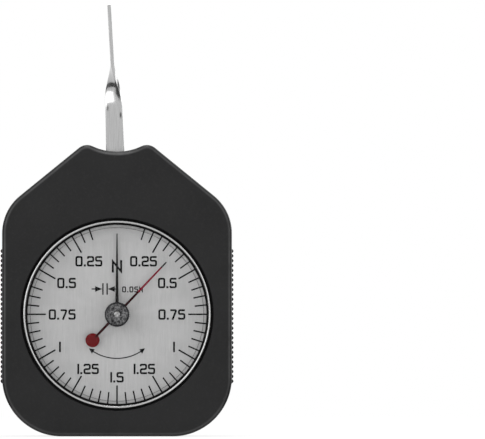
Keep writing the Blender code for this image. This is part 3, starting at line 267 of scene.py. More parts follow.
def boolean(obj, other_bm, operation="DIFFERENCE", angle=35):
    """Applies one exact Boolean with a throwaway tool mesh."""
    tool = placed("tool", mesh_of("tool", other_bm))
    obj.modifiers.clear()
    modifier = obj.modifiers.new("bool", "BOOLEAN")
    modifier.operation = operation
    modifier.solver = "EXACT"
    modifier.object = tool
    bpy.context.view_layer.update()
    graph = bpy.context.evaluated_depsgraph_get()
    result = bpy.data.meshes.new_from_object(obj.evaluated_get(graph))
    mats = list(obj.data.materials)
    obj.modifiers.clear()
    obj.data = result
    result.name = obj.name
    result.materials.clear()
    for mat in mats:
        result.materials.append(mat)
    mesh = tool.data
    bpy.data.objects.remove(tool)
    bpy.data.meshes.remove(mesh)
    shade(obj, angle)


# Helpers for materials

def grey(value, blue=None):
    """A grey colour, with a blue of its own where it is cool or warm."""
    return value, value, value if blue is None else blue


def give(tree, node, inputs):
    """Sets or links inputs, by name or number."""
    for key, value in inputs.items():
        if isinstance(value, bpy.types.NodeSocket):
            tree.links.new(value, node.inputs[key])
        else:
            node.inputs[key].default_value = value


def add(tree, kind, inputs=None, **settings):
    """A new node with its settings and inputs."""
    node = tree.nodes.new(kind)
    for key, value in settings.items():
        setattr(node, key, value)
    give(tree, node, inputs or {})
    return node


def nodes_of(name, inputs):
    """A new material with its tree and its shader, some of whose inputs are given."""
    mat = bpy.data.materials.new(name)
    mat.use_nodes = True
    tree = mat.node_tree
    shader = tree.nodes["Principled BSDF"]
    give(tree, shader, inputs)
    return mat, tree, shader


def place_of(tree):
    """Where a point lies in object space."""
    return add(tree, "ShaderNodeTexCoord").outputs["Object"]


def noise(tree, scale, detail=4.0, rough=0.55, stretch=(1, 1, 1), warp=0.0):
    """A noise texture in object space, whose scale is in features a metre."""
    place = add(tree, "ShaderNodeMapping", {"Vector": place_of(tree), "Scale": stretch})
    tex = add(tree, "ShaderNodeTexNoise", {"Vector": place.outputs["Vector"], "Scale": scale,
                                           "Detail": detail, "Roughness": rough,
                                           "Distortion": warp})
    return tex.outputs["Fac"]


def ranged(tree, value, low, high, from_low=0.3, from_high=0.7):
    """A value's range mapped onto another."""
    node = add(tree, "ShaderNodeMapRange", {"Value": value, "From Min": from_low,
                                            "From Max": from_high, "To Min": low,
                                            "To Max": high})
    return node.outputs["Result"]


def math_of(tree, operation, a, b, clamp=False):
    """One operation on two values."""
    node = add(tree, "ShaderNodeMath", {0: a, 1: b}, operation=operation, use_clamp=clamp)
    return node.outputs["Value"]


def distance_from(tree, place, scale=(1, 1, 1)):
    """How far each point lies from a place, in metres, with every axis scaled."""
    shift = [-p * s for p, s in zip(place, scale)]
    moved = add(tree, "ShaderNodeMapping", {"Vector": place_of(tree), "Location": shift,
                                            "Scale": scale})
    away = add(tree, "ShaderNodeVectorMath", {0: moved.outputs["Vector"]}, operation="LENGTH")
    return away.outputs["Value"]


def from_dial_axis(tree):
    """How far each point lies from the dial's axis, in metres."""
    return distance_from(tree, (0, 0, DIAL_Z), (1, 0, 1))


def blend_colour(tree, factor, a, b):
    """From one colour to another by a factor. Each colour is a socket or a plain one."""
    node = add(tree, "ShaderNodeMix", {"Factor": factor}, data_type="RGBA")
    for socket, colour in (("A", a), ("B", b)):
        slot = [s for s in node.inputs if s.name == socket and s.type == "RGBA"][0]
        if isinstance(colour, bpy.types.NodeSocket):
            tree.links.new(colour, slot)
        else:
            slot.default_value = (*colour, 1)
    return [s for s in node.outputs if s.type == "RGBA"][0]


def surface(tree, shader, colour, rough, height, strength, depth=0.02 * MM):
    """Gives a shader its colour, roughness and bump."""
    bump = add(tree, "ShaderNodeBump", {"Strength": strength, "Distance": depth,
                                        "Height": height})
    give(tree, shader, {"Base Color": colour, "Roughness": rough,
                        "Normal": bump.outputs["Normal"]})


# Materials

def moulded(name, dark, light, rough, level, grain=2600, scuffs=(), painted_highlight_colour=None):
    """Moulded plastic: fine spark-eroded grain, slow blotches, scuffs where asked and, where asked,
    a painted highlight along the rounded edges.
    """
    mat, tree, shader = nodes_of(name, {"Specular IOR Level": level})
    slow = ranged(tree, noise(tree, 90, 5.0), 0, 1)
    colour = blend_colour(tree, slow, dark, light)
    speck = ranged(tree, noise(tree, grain * 0.6, 2.0), 0, 0.35, 0.5, 0.8)
    colour = blend_colour(tree, speck, colour, tuple(c * 1.8 for c in light))
    for place, radius, bright in scuffs:
        near = ranged(tree, distance_from(tree, place), 1, 0, radius * 0.2, radius)
        marks = ranged(tree, noise(tree, 420, 6.0, 0.7, (1.0, 1.0, 0.35)), 0, 1, 0.52, 0.66)
        colour = blend_colour(tree, math_of(tree, "MULTIPLY", near, marks), colour, bright)
    # Painted highlight along the rounded edges, patchy, strongest where the vertex layer says, in
    # the colour given.
    if painted_highlight_colour:
        edge = add(tree, "ShaderNodeAttribute", attribute_name="painted_highlight").outputs["Fac"]
        patchy = ranged(tree, noise(tree, 180, 5.0, 0.6), 0.6, 1, 0.35, 0.6)
        painted_highlight_mask = math_of(tree, "MULTIPLY", edge, patchy, clamp=True)
        colour = blend_colour(tree, painted_highlight_mask, colour, painted_highlight_colour)
    gloss = ranged(tree, noise(tree, 240, 4.0), rough - 0.02, rough + 0.02)
    surface(tree, shader, colour, gloss, noise(tree, grain, 3.0, 0.6), 0.22, 0.04 * MM)
    return mat


def metal(name, a, b, rough, stretch=(1, 1, 1), scale=1500, strength=0.12, spots=0.0, marks=()):
    """Metal with brushed or turned grain: streaks in its colour, gloss and surface."""
    mat, tree, shader = nodes_of(name, {"Metallic": 1.0})
    grain = noise(tree, scale, 3.0, 0.6, stretch)
    colour = blend_colour(tree, ranged(tree, grain, 0, 1), a, b)
    if spots:
        dull = ranged(tree, noise(tree, 700, 5.0, 0.65), 0, spots, 0.45, 0.75)
        colour = blend_colour(tree, dull, colour, tuple(c * 0.35 for c in a))
    for (x, z), radius in marks:
        away = distance_from(tree, (x, 0, z), (3, 0, 1))
        near = ranged(tree, away, 1, 0, radius * 0.3, radius)
        patchy = ranged(tree, noise(tree, 1300, 3.0), 0.3, 1, 0.35, 0.6)
        colour = blend_colour(tree, math_of(tree, "MULTIPLY", near, patchy), colour, grey(0.09))
    slow = noise(tree, scale / 6, 3.0, 0.5, stretch)
    gloss = ranged(tree, slow, rough - 0.06, rough + 0.06)
    surface(tree, shader, colour, gloss, grain, strength)
    return mat


def paint(name, a, b, rough, level=0.5, scale=900):
    """A thin coat of paint or ink, with slight orange peel."""
    mat, tree, shader = nodes_of(name, {"Specular IOR Level": level})
    colour = blend_colour(tree, ranged(tree, noise(tree, scale, 4.0), 0, 1), a, b)
    gloss = ranged(tree, noise(tree, scale * 2, 2.0), rough - 0.05, rough + 0.05)
    surface(tree, shader, colour, gloss, noise(tree, scale * 3, 2.0), 0.08)
    return mat


def dial_material():
    """Silvered dial: fine upright brushing, faint rays of painted sheen from the centre and a
    border lightened with painted light.
    """
    mat, tree, shader = nodes_of("dial_silver_finish", {"Metallic": 0.25,
                                                        "Specular IOR Level": 0.35})
    fine = ranged(tree, noise(tree, 900, 4.0, 0.6, (5.0, 1.0, 0.22)), 0, 1)
    colour = blend_colour(tree, fine, grey(0.470, 0.471), grey(0.57, 0.571))
    shift = add(tree, "ShaderNodeVectorMath", {0: place_of(tree), 1: (0, 0, DIAL_Z)},
                operation="SUBTRACT")
    faced = add(tree, "ShaderNodeMapping", {"Vector": shift.outputs["Vector"],
                                            "Rotation": (rad(-90), 0, 0)})
    angle = add(tree, "ShaderNodeTexGradient", {"Vector": faced.outputs["Vector"]},
                gradient_type="RADIAL")
    # Painted sheen: faint lighter rays by angle about the centre.
    rays = add(tree, "ShaderNodeTexNoise", {"W": angle.outputs["Fac"], "Scale": 26,
                                            "Detail": 6.0}, noise_dimensions="1D")
    glow = ranged(tree, rays.outputs["Fac"], 0, 0.35)
    colour = blend_colour(tree, glow, colour, grey(0.61, 0.611))
    blotch = ranged(tree, noise(tree, 70, 3.0), 0, 0.18)
    colour = blend_colour(tree, blotch, colour, grey(0.44, 0.441))
    # Painted light: the border near the window's rim is made lighter.
    painted_light_border = ranged(tree, from_dial_axis(tree), 0, 0.85, 20.0 * MM, 22.8 * MM)
    colour = blend_colour(tree, painted_light_border, colour, grey(0.64, 0.641))
    gloss = ranged(tree, noise(tree, 500, 3.0), 0.42, 0.54)
    surface(tree, shader, colour, gloss, noise(tree, 1400, 3.0, 0.6, (4.0, 1.0, 0.3)), 0.10)
    return mat


def knob_material():
    """Dark turned metal with a mottled, handled face and a darker rim."""
    mat, tree, shader = nodes_of("knob_finish", {"Metallic": 0.85})
    swirls = ranged(tree, noise(tree, 1150, 5.0, 0.62, warp=1.4), 0, 1, 0.42, 0.62)
    colour = blend_colour(tree, swirls, grey(0.012, 0.013), grey(0.190, 0.193))
    fleck = ranged(tree, noise(tree, 2800, 3.0, 0.7), 0, 0.36, 0.55, 0.72)
    colour = blend_colour(tree, fleck, colour, grey(0.28, 0.285))
    rim = ranged(tree, from_dial_axis(tree), 0, 0.95, 2.72 * MM, 3.05 * MM)
    colour = blend_colour(tree, rim, colour, grey(0.010, 0.011))
    gloss = ranged(tree, noise(tree, 900, 4.0), 0.34, 0.52)
    surface(tree, shader, colour, gloss, noise(tree, 1600, 4.0), 0.35, 0.04 * MM)
    return mat


def crystal_material(name, tint, alpha):
    """Clear acrylic: nearly all of what is behind it shows, with a faint haze and soft gloss."""
    acrylic = {"IOR": 1.49}
    mat, tree, shader = nodes_of(name, acrylic)
    gloss = ranged(tree, noise(tree, 160, 4.0), 0.03, 0.10)
    surface(tree, shader, (*tint, 1), gloss, noise(tree, 60, 2.0), 0.02, 0.05 * MM)
    haze = ranged(tree, noise(tree, 220, 5.0, 0.6), *alpha)
    grazing = add(tree, "ShaderNodeFresnel", acrylic).outputs["Fac"]
    shine = ranged(tree, grazing, 0, 0.25, 0.08, 0.8)
    give(tree, shader, {"Alpha": math_of(tree, "ADD", haze, shine, clamp=True)})
    return mat


def label_material():
    """Plain matt film with a paper-like grain."""
    mat, tree, shader = nodes_of("label_finish", {"Specular IOR Level": 0.3})
    fine = ranged(tree, noise(tree, 1800, 4.0), 0, 1)
    colour = blend_colour(tree, fine, grey(0.515, 0.518), grey(0.565, 0.568))
    slow = ranged(tree, noise(tree, 60, 3.0), 0, 0.3)
    colour = blend_colour(tree, slow, colour, grey(0.49, 0.494))
    gloss = ranged(tree, noise(tree, 400, 3.0), 0.42, 0.55)
    surface(tree, shader, colour, gloss, noise(tree, 2500, 3.0), 0.10)
    return mat


# The last colour of the shell and of the cover is a painted highlight along their rounded edges.
SHELL = moulded("black_shell_finish", grey(0.0098, 0.0101), grey(0.0126, 0.0129), 0.40, 0.17,
                painted_highlight_colour=grey(0.115, 0.116))
SCUFFS = [((-21.5 * MM, COVER_BACK, 29.5 * MM), 11 * MM, grey(0.024, 0.025)),
          ((-22 * MM, COVER_BACK, 15.8 * MM), 7.5 * MM, grey(0.024, 0.025))]
COVER = moulded("black_cover_finish", grey(0.0052, 0.0055), grey(0.0074, 0.0077), 0.44, 0.12,
                scuffs=SCUFFS, painted_highlight_colour=grey(0.077, 0.078))
RUBBER = moulded("black_rubber_finish", grey(0.004), grey(0.006), 0.65, 0.05, grain=3500)
LABEL = label_material()
STEEL = metal("bright_steel_finish", grey(0.40), grey(0.52), 0.22, (3.0, 3.0, 0.4), 1500, 0.10)
STRIP = metal("feeler_strip_finish", grey(0.40), grey(0.52), 0.18, (7.0, 7.0, 0.16), 900, 0.10,
              marks=[((-2.5 * MM, 88.6 * MM), 1.0 * MM), ((0.98 * MM, 86.7 * MM), 1.15 * MM)])
SCREW = metal("screw_steel_finish", grey(0.52, 0.51), grey(0.84, 0.82), 0.24, scale=1400,
              spots=0.7)
# Painted shade for the walls and the floor of the screws' cross recesses.
RECESS_SHADE = metal("screw_recess_painted_shade", grey(0.05), grey(0.11), 0.42, scale=2600)
CROSS_FLOOR_SHADE = metal("screw_recess_floor_painted_shade", grey(0.14), grey(0.30, 0.29), 0.36, scale=2600)
CHROME = metal("bright_ring_finish", grey(0.40), grey(0.50), 0.24, scale=2500, strength=0.06)
SPRING = metal("spring_steel_finish", (0.26, 0.27, 0.29), (0.36, 0.37, 0.39), 0.32, scale=2500)
BRASS = metal("brass_finish", (0.52, 0.36, 0.14), (0.64, 0.47, 0.22), 0.30, (3.0, 3.0, 0.5),
              1600, spots=0.12)
BRONZE = metal("bronze_finish", (0.38, 0.21, 0.10), (0.48, 0.29, 0.14), 0.36, scale=2200,
               spots=0.15)
SPINDLE = metal("spindle_finish", grey(0.22), grey(0.42), 0.30, scale=2600, spots=0.4)
DIAL = dial_material()
KNOB = knob_material()
CRYSTAL = crystal_material("clear_acrylic_finish", grey(0.10), (0.030, 0.050))
# A painted dark line of shade at the crystal's inner corner.
CRYSTAL_CORNER_SHADE = crystal_material("acrylic_corner_painted_shade", grey(0.02), (0.38, 0.50))
INK = paint("dial_ink", grey(0.0030, 0.0034), grey(0.0060, 0.0064), 0.60, 0.05, 2500)
BLACK = paint("black_paint_finish", grey(0.0035), grey(0.0065), 0.42, 0.12)
RED = paint("red_paint_finish", (0.110, 0.0016, 0.0030), (0.160, 0.0030, 0.0052), 0.42, 0.05,
            1300)
NEEDLE_RED = paint("red_needle_finish", (0.170, 0.004, 0.018), (0.230, 0.007, 0.028), 0.42,
                   0.10, 1500)
# Painted shadow for the peak hand's root, its tail and its hub.
NEEDLE_SHADOW = paint("needle_painted_shadow", (0.024, 0.0010, 0.0022), (0.038, 0.0014, 0.0030),
                    0.45, 0.04, 1500)

FINISHES = {
    "black_shell": SHELL,
    "black_cover": COVER,
    "label": LABEL,
    "screw_steel": SCREW,
    "clear_acrylic": CRYSTAL,
    "black_rubber": RUBBER,
    "bright_ring": CHROME,
    "dial_silver": DIAL,
    "knob_metal": KNOB,
    "red_paint": RED,
    "black_paint": BLACK,
    "bright_steel": STEEL,
    "spring_steel": SPRING,
    "brass": BRASS,
    "bronze": BRONZE,
}
slot_of = {s["node"]: s["material_slot"] for s in frame["record"]["subparts"]}
for node, obj in frame["nodes"].items():
    finish = FINISHES[slot_of[node]]
    if not obj.material_slots:
        obj.data.materials.append(finish)
    for material_slot in obj.material_slots:
        material_slot.material = finish


# Case

def ring_at(inset, y):
    """The case's outline, moved inwards, at a depth."""
    return at_depth(case_points(inset), y)


def edge_rings(radius, y_face, direction):
    """Rings of a rounded rim from the flat face out to the full outline, and how much painted
    highlight each carries.
    """
    steps, brightest_angle, spread = 10, 25, 20
    rings, painted_highlight = [], []
    for i in range(steps + 1):
        t = math.pi / 2 * i / steps
        y = y_face + direction * radius * (1 - math.cos(t))
        rings.append(ring_at(radius * (1 - math.sin(t)), y))
        painted_highlight.append(max(0.0, 1 - abs(math.degrees(t) - brightest_angle) / spread))
    return rings, painted_highlight


def seam_rings(y, inward):
    """Rings of the softened edge where shell and cover meet."""
    soft = 0.14 * MM
    return [ring_at(0, y + inward * soft), ring_at(soft * 0.35, y + inward * soft * 0.3),
            ring_at(soft, y)]


def brighten_notch_highlight(bm):
    """Paints a stronger highlight along the notch, where the lever comes out, than along the other
    edges.
    """
    layer = bm.verts.layers.float["painted_highlight"]
    least, near, far = 0.39, 1.5 * MM, 8.0 * MM
    for vert in bm.verts:
        at_notch = vert.co.z > NOTCH_FLOOR - WALL
        share = (far - abs(vert.co.x)) / (far - near) if at_notch else 0
        vert[layer] *= least + (1 - least) * min(max(share, 0), 1)


def make_shell():
    """The front moulding with its window, its collar behind the window and the lever's slot."""
    bm = bmesh.new()
    rings, painted_highlight = edge_rings(FRONT_EDGE_R, FRONT_Y, 1)
    rings += seam_rings(SHELL_BACK, -1)
    step_inset = 0.34 * MM
    step_back = SHELL_BACK + 0.24 * MM
    rings += [ring_at(step_inset, SHELL_BACK), ring_at(step_inset + 0.02 * MM, step_back),
              ring_at(WALL, step_back)]
    rings.append(ring_at(WALL, FRONT_Y + FRONT_WALL))
    # The seam's softened edge takes part of the painted highlight too.
    loft(bm, rings, painted_highlight=painted_highlight + [0, 0.5, 0.3, 0, 0, 0, 0])
    brighten_notch_highlight(bm)
    shell = mesh_object("shell_moulding", bm, SHELL, CASE, merge=False)
    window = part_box("bezel_ring")[1].x + BEZEL_SIDE_GAP
    mouth = window + 0.12 * MM
    chamber = window - WINDOW_LEDGE
    collar = window + COLLAR_WALL
    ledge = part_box("crystal")[1].y + SEAT_GAP
    collar_front = FRONT_Y + 1.9 * MM
    collar_back = DIAL_FRONT - SEAT_GAP
    lip = 0.16 * MM
    past_wall = FRONT_Y + 3 * MM
    boolean(shell, disc_bm(mouth, FRONT_Y - OVERRUN, past_wall, 0, DIAL_Z, WINDOW_SIDES))
    profile = [
        (mouth, FRONT_Y + lip * 0.2),
        (window + 0.05 * MM, FRONT_Y + lip * 0.45),
        (window, FRONT_Y + lip),
        (window, ledge),
        (chamber, ledge),
        (chamber, collar_back),
        (collar, collar_back),
        (collar, collar_front),
        (mouth, collar_front),
    ]
    bm = bmesh.new()
    lathe(bm, profile, 0, DIAL_Z, WINDOW_SIDES, closed=True)
    mesh_object("window_collar", bm, SHELL, CASE)
    half, start = slot_size()
    boolean(shell, box_bm(-half, half, start, SHELL_BACK + OVERRUN, NOTCH_FLOOR - WALL - OVERRUN,
                          CASE_TOP + OVERRUN))
    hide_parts("front_shell")


def slot_size():
    """Half the slot's width and the depth where it starts, as the CAD source works them out."""
    swing, own_lean = rad(12), rad(1.4)
    lean = swing + own_lean
    half = (NOTCH_FLOOR - PIVOT_Z) * math.tan(lean) + STRIP_WIDTH / 2 / math.cos(lean) + SLOT_GAP
    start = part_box("sector_gear")[1].y + FIT_GAP - SLOT_GAP
    return half, start


def make_ribs():
    """Rounded grip ribs with soft ends, one row on each side of the case."""
    low = 14.24 * MM
    pitch = 1.3 * MM
    count = 28
    share = 0.48
    steps = 8
    sink = 0.03 * MM
    root = HALF_WIDTH - 0.4 * MM
    foot = HALF_WIDTH - sink
    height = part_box("front_shell")[1].x - HALF_WIDTH + sink
    y0 = FRONT_Y + 2.2 * MM
    y1 = SHELL_BACK - 1.0 * MM
    ends = ((0.0, 0.0), (0.10 * MM, 0.55), (0.28 * MM, 0.88), (0.5 * MM, 1.0))
    along = [(y0 + d, f) for d, f in ends] + [(y1 - d, f) for d, f in reversed(ends)]
    for name, side in (("grip_ribs_left", -1), ("grip_ribs_right", 1)):
        bm = bmesh.new()
        for k in range(count):
            z = low + (k + 0.5) * pitch
            rings = []
            for y, f in along:
                ring = [(side * root, y, z - pitch * share)]
                for i in range(steps + 1):
                    u = i / steps * 2 - 1
                    h = (1 - abs(u) ** 1.7) ** 0.9
                    ring.append((side * (foot + height * h * f), y, z + u * pitch * share))
                ring.append((side * root, y, z + pitch * share))
                rings.append(ring)
            loft(bm, rings)
        mesh_object(name, bm, SHELL, CASE, 60, merge=False)


def make_cover():
    """The back moulding with its lip, and the tongue that closes the lever's slot."""
    bm = bmesh.new()
    rings, painted_highlight = edge_rings(BACK_EDGE_R, COVER_BACK, -1)
    rings += seam_rings(COVER_FRONT, 1)
    hollow = 2.9 * MM
    rings += [ring_at(hollow, COVER_FRONT), ring_at(hollow, COVER_BACK - COVER_WALL)]
    # The seam's softened edge takes part of the painted highlight too.
    loft(bm, rings, painted_highlight=painted_highlight + [0, 0.5, 0.3, 0, 0])
    brighten_notch_highlight(bm)
    lip_front, lip_root = COVER_FRONT - 1.5 * MM, COVER_FRONT + 0.1 * MM
    outer, inner = 2.5 * MM, 3.3 * MM
    loft(bm, [ring_at(outer, lip_front), ring_at(outer, lip_root), ring_at(inner, lip_root),
              ring_at(inner, lip_front)], loop=True)
    cover = mesh_object("cover_moulding", bm, COVER, CASE, merge=False)
    bore = 2.45 * MM
    floor = COVER_BACK - 1.65 * MM
    for where in SCREW_TURNS:
        cx, cz = centre(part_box("cover_screw_" + where))
        boolean(cover, disc_bm(bore, floor, COVER_BACK + OVERRUN, cx, cz, SMALL_SIDES))
    label_gap, label_bed = 0.05 * MM, COVER_BACK - 0.2 * MM
    boolean(cover, prism_bm(label_points(label_gap), label_bed, COVER_BACK + OVERRUN))
    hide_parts("back_cover")
    bm = bmesh.new()
    half = slot_size()[0] - SEAT_GAP
    tongue_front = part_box("lever_spring")[0].y - SPRING_SPACE + SLOT_GAP
    loft(bm, [ring_at(0.02 * MM, y) for y in (tongue_front, COVER_FRONT + 0.3 * MM)])
    tongue_foot = NOTCH_FLOOR - 3.4 * MM
    tongue = mesh_object("cover_tongue", bm, COVER, CASE, merge=False)
    boolean(tongue, box_bm(-half, half, tongue_front - OVERRUN, COVER_FRONT + OVERRUN,
                           tongue_foot, CASE_TOP + OVERRUN), "INTERSECT")


def rounded_rect(w, h, r):
    """A rectangle with round corners about nought."""
    steps = 8
    pts = []
    for k, (sx, sz) in enumerate(((1, -1), (1, 1), (-1, 1), (-1, -1))):
        for i in range(steps + 1):
            a = (k - 1) * math.pi / 2 + math.pi / 2 * i / steps
            pts.append(polar(r, a, sx * (w / 2 - r), sz * (h / 2 - r)))
    return pts


def label_points(gap=0.0):
    """The label's outline with a gap round it, a little to one side and turned as in the photo."""
    outline = rounded_rect(LABEL_WIDTH + 2 * gap, LABEL_HEIGHT + 2 * gap, LABEL_R + gap)
    return turned(outline, rad(0.5), -0.7 * MM, DIAL_Z + 6.7 * MM)


def make_label():
    """A blank stuck-on plate with a thin paler rim and a softened edge."""
    steps = ((0, 0.19), (0, 0.05), (-0.03, 0.01), (-0.08, 0), (-0.34, 0), (-0.38, 0.012))
    bm = bmesh.new()
    loft(bm, [at_depth(label_points(gap * MM), COVER_BACK - drop * MM) for gap, drop in steps])
    rim = paint("label_rim_finish", grey(0.66), grey(0.72), 0.45, 0.35, 1500)
    label = mesh_object("label_plate", bm, [LABEL, rim], CASE, merge=False)
    for face in label.data.polygons:
        face.material_index = 0 if len(face.vertices) > 4 else 1
    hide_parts("back_label")


def screw_profile():
    """Pan head on its shank, as radius and depth below the head's top."""
    head, crown, shank = 1.98 * MM, 1.45 * MM, 1.0 * MM
    crown_drop, edge_drop, seat = 0.07 * MM, 0.45 * MM, 1.2 * MM
    profile = [(0.0, 0.0), (1.0 * MM, 0.02 * MM), (crown, crown_drop)]
    for f in shares(8):
        t = math.pi / 2 * f
        profile.append((crown + (head - crown) * math.sin(t),
                        crown_drop + edge_drop * (1 - math.cos(t))))
    return profile + [(head, seat - 0.12 * MM), (head - 0.1 * MM, seat), (shank, seat),
                      (shank, seat + 6.5 * MM), (0.0, seat + 7.0 * MM)]


def cross_points(grow):
    """A cross with filled inner corners."""
    a, b = 0.40 * MM * grow, 1.42 * MM * grow
    half = [(b, -a), (b, a), (a * 1.4, a * 1.4), (a, b), (-a, b), (-a * 1.4, a * 1.4)]
    return half + [(-x, -z) for x, z in half]


def make_cover_screws():
    """Domed heads with a tapered cross, whose walls and floor are darkened with painted shade."""
    for where, turn in SCREW_TURNS.items():
        node = "cover_screw_" + where
        low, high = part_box(node)
        cx, cz = centre((low, high))
        bm = bmesh.new()
        lathe(bm, [(r, high.y - d) for r, d in screw_profile()], cx, cz, SMALL_SIDES)
        screw = mesh_object("screw_" + where, bm, [SCREW, RECESS_SHADE, CROSS_FLOOR_SHADE], CASE, 40)
        bm = bmesh.new()
        loft(bm, [at_depth(turned(cross_points(grow), rad(turn), cx, cz), y)
                  for y, grow in ((high.y + 0.2 * MM, 1.10), (high.y - 0.8 * MM, 0.62))])
        boolean(screw, bm)
        # Faces in the cross take painted shade, the walls darker than the floor.
        for face in screw.data.polygons:
            away = math.hypot(face.center.x - cx, face.center.z - cz)
            below = high.y - face.center.y
            in_cross = away < 1.6 * MM and 0.12 * MM < below < 0.85 * MM
            face.material_index = (1 if below < 0.75 * MM else 2) if in_cross else 0
        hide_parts(node)


# Window

def make_bezel():
    """The bright ring, with a rounded front."""
    low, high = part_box("bezel_ring")
    outer, inner = high.x, high.x - BEZEL_WIDTH
    mid, half = (outer + inner) / 2, (outer - inner) / 2
    rise, steps = 0.30 * MM, 8
    profile = []
    for i in range(steps + 1):
        a = math.pi * i / steps
        profile.append((mid - half * math.cos(a), low.y + rise - rise * math.sin(a)))
    bm = bmesh.new()
    lathe(bm, profile + [(outer, high.y), (inner, high.y)], 0, DIAL_Z, BEZEL_SIDES, closed=True)
    ring = mesh_object("bezel_trim", bm, CHROME, CASE, 50)
    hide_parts("bezel_ring")


def make_gasket():
    """The dark seal inside the bright ring."""
    low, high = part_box("crystal_gasket")
    outer, inner, soft = high.x, 24.13 * MM, 0.12 * MM
    bm = bmesh.new()
    lathe(bm, [(inner, high.y), (inner, low.y + soft), (inner + soft, low.y), (outer, low.y),
               (outer, high.y)], 0, DIAL_Z, WINDOW_SIDES, closed=True)
    seal = mesh_object("window_seal", bm, RUBBER, CASE, 50)
    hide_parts("crystal_gasket")


def make_crystal():
    """The clear window with its flange, its bore and a painted dark line of shade at its corner."""
    low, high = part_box("crystal")
    y0, y1 = low.y, high.y
    bore, face_r, corner_r, bevel_r, side_r = (r * MM for r in (0.9, 23.30, 23.52, 24.06, 24.1))
    rise = 0.8 * MM
    bm = bmesh.new()
    lathe(bm, [(bore, y0), (face_r, y0), (corner_r, y0 + 0.06 * MM), (bevel_r, y0 + 0.72 * MM),
               (side_r, y0 + rise), (high.x, y0 + rise), (high.x, y1), (bore, y1)],
          0, DIAL_Z, WINDOW_SIDES, closed=True)
    glass = mesh_object("window_crystal", bm, [CRYSTAL, CRYSTAL_CORNER_SHADE], CASE, 30)
    # The corner's faces take the painted shade.
    for face in glass.data.polygons:
        away = math.hypot(face.center.x, face.center.z - DIAL_Z)
        corner = face_r < away < corner_r and face.center.y < y0 + 0.1 * MM
        face.material_index = 1 if corner else 0
    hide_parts("crystal")


# Print on the dial

class Print:
    """Flat ink drawn on the dial, in metres from the dial's centre."""

    def __init__(self):
        self.bm = bmesh.new()
        self.front = DIAL_FRONT - 0.025 * MM
        self.back = DIAL_FRONT - 0.001 * MM

    def patch(self, points):
        moved = [(x, DIAL_Z + z) for x, z in points]
        loft(self.bm, [at_depth(moved, y) for y in (self.front, self.back)])

    def stroke(self, points, width, closed=False):
        """A ribbon with mitred corners."""
        spots = [Vector(p) for p in points]
        n = len(spots)
        rows = []
        for i, here in enumerate(spots):
            starts = i == 0 and not closed
            ends = i == n - 1 and not closed
            d0 = (spots[1] - here if starts else here - spots[i - 1]).normalized()
            d1 = (here - spots[i - 1] if ends else spots[(i + 1) % n] - here).normalized()
            n0 = Vector((-d0.y, d0.x))
            n1 = Vector((-d1.y, d1.x))
            m = n0 + n1
            m = m / m.length
            off = m * (width / 2 / max(m.dot(n0), 0.4))
            a, b = here + off, here - off
            rows.append([(p.x, self.front, DIAL_Z + p.y) for p in (a, b)] +
                        [(p.x, self.back, DIAL_Z + p.y) for p in (b, a)])
        loft(self.bm, rows, close_ends=not closed, loop=closed)

    def glyph(self, name, x, z, w, h, width):
        """A squared character with round corners, from the middle of its lower left stroke."""
        shapes = {
            "0": ([(0, 0), (w, 0), (w, h), (0, h)], True),
            "1": ([(0, -width / 2), (0, h + width / 2)], False),
            "2": ([(0, h * 0.80), (0, h), (w, h), (w, h * 0.50), (0, h * 0.46), (0, 0),
                   (w + width / 2, 0)], False),
            "5": ([(w + width * 0.3, h), (0, h), (0, h * 0.56), (w, h * 0.56), (w, 0), (0, 0),
                   (0, h * 0.17)], False),
            "7": ([(-width * 0.3, h), (w, h), (w * 0.30, -width / 2)], False),
            "N": ([(0, -width / 2), (0, h), (w, 0), (w, h + width / 2)], False),
        }
        if name == ".":
            s, foot = width * 0.55, z - width / 2
            self.patch([(x - s, foot), (x + s, foot), (x + s, foot + 2 * s), (x - s, foot + 2 * s)])
            return
        points, closed = shapes[name]
        pts = rounded(points, 0 if name in "1N" else 0.24 * w, closed)
        self.stroke([(x + a, z + b) for a, b in pts], width, closed)

    def write(self, text, cx, cz, height, w, width, gap):
        """A line of characters centred on a place, w wide between their strokes' middles."""
        wide = {".": width * 0.4, "1": 0.0}
        widths = [wide.get(c, w) for c in text]
        x = cx - (sum(widths) + width * len(text) + gap * (len(text) - 1)) / 2
        h = height - width
        for c, wc in zip(text, widths):
            x += width / 2
            dot = c == "."
            self.glyph(c, x + (wc / 2 if dot else 0), cz - h / 2, w if dot else wc, h, width)
            x += wc + width / 2 + gap


def rounded(points, radius, closed):
    """Rounds the corners of a line of points."""
    if radius <= 0:
        return points
    out = []
    n = len(points)
    for i in range(n):
        if not closed and i in (0, n - 1):
            out.append(points[i])
            continue
        a, b, c = Vector(points[i - 1]), Vector(points[i]), Vector(points[(i + 1) % n])
        r = min(radius, (a - b).length * 0.49, (c - b).length * 0.49)
        p0 = b + (a - b).normalized() * r
        p2 = b + (c - b).normalized() * r
        for k in range(5):
            t = k / 4
            p = p0 * (1 - t) ** 2 + b * 2 * t * (1 - t) + p2 * t * t
            out.append((p.x, p.y))
    return out


def print_ticks():
    """A tick for each division, all but those round the top, with long ones every fifth."""
    ticks = Print()
    rim = 24.18 * MM
    for side in (-1, 1):
        for deg in range(18, 181, 6):
            if deg == 180 and side == 1:
                continue
            a = rad(90 - deg * side)
            start, width = (19.2, 0.42) if deg % 30 == 0 else (21.1, 0.39)
            ticks.stroke([polar(start * MM, a), polar(rim, a)], width * MM)
    mesh_object("dial_ticks", ticks.bm, INK, CASE)


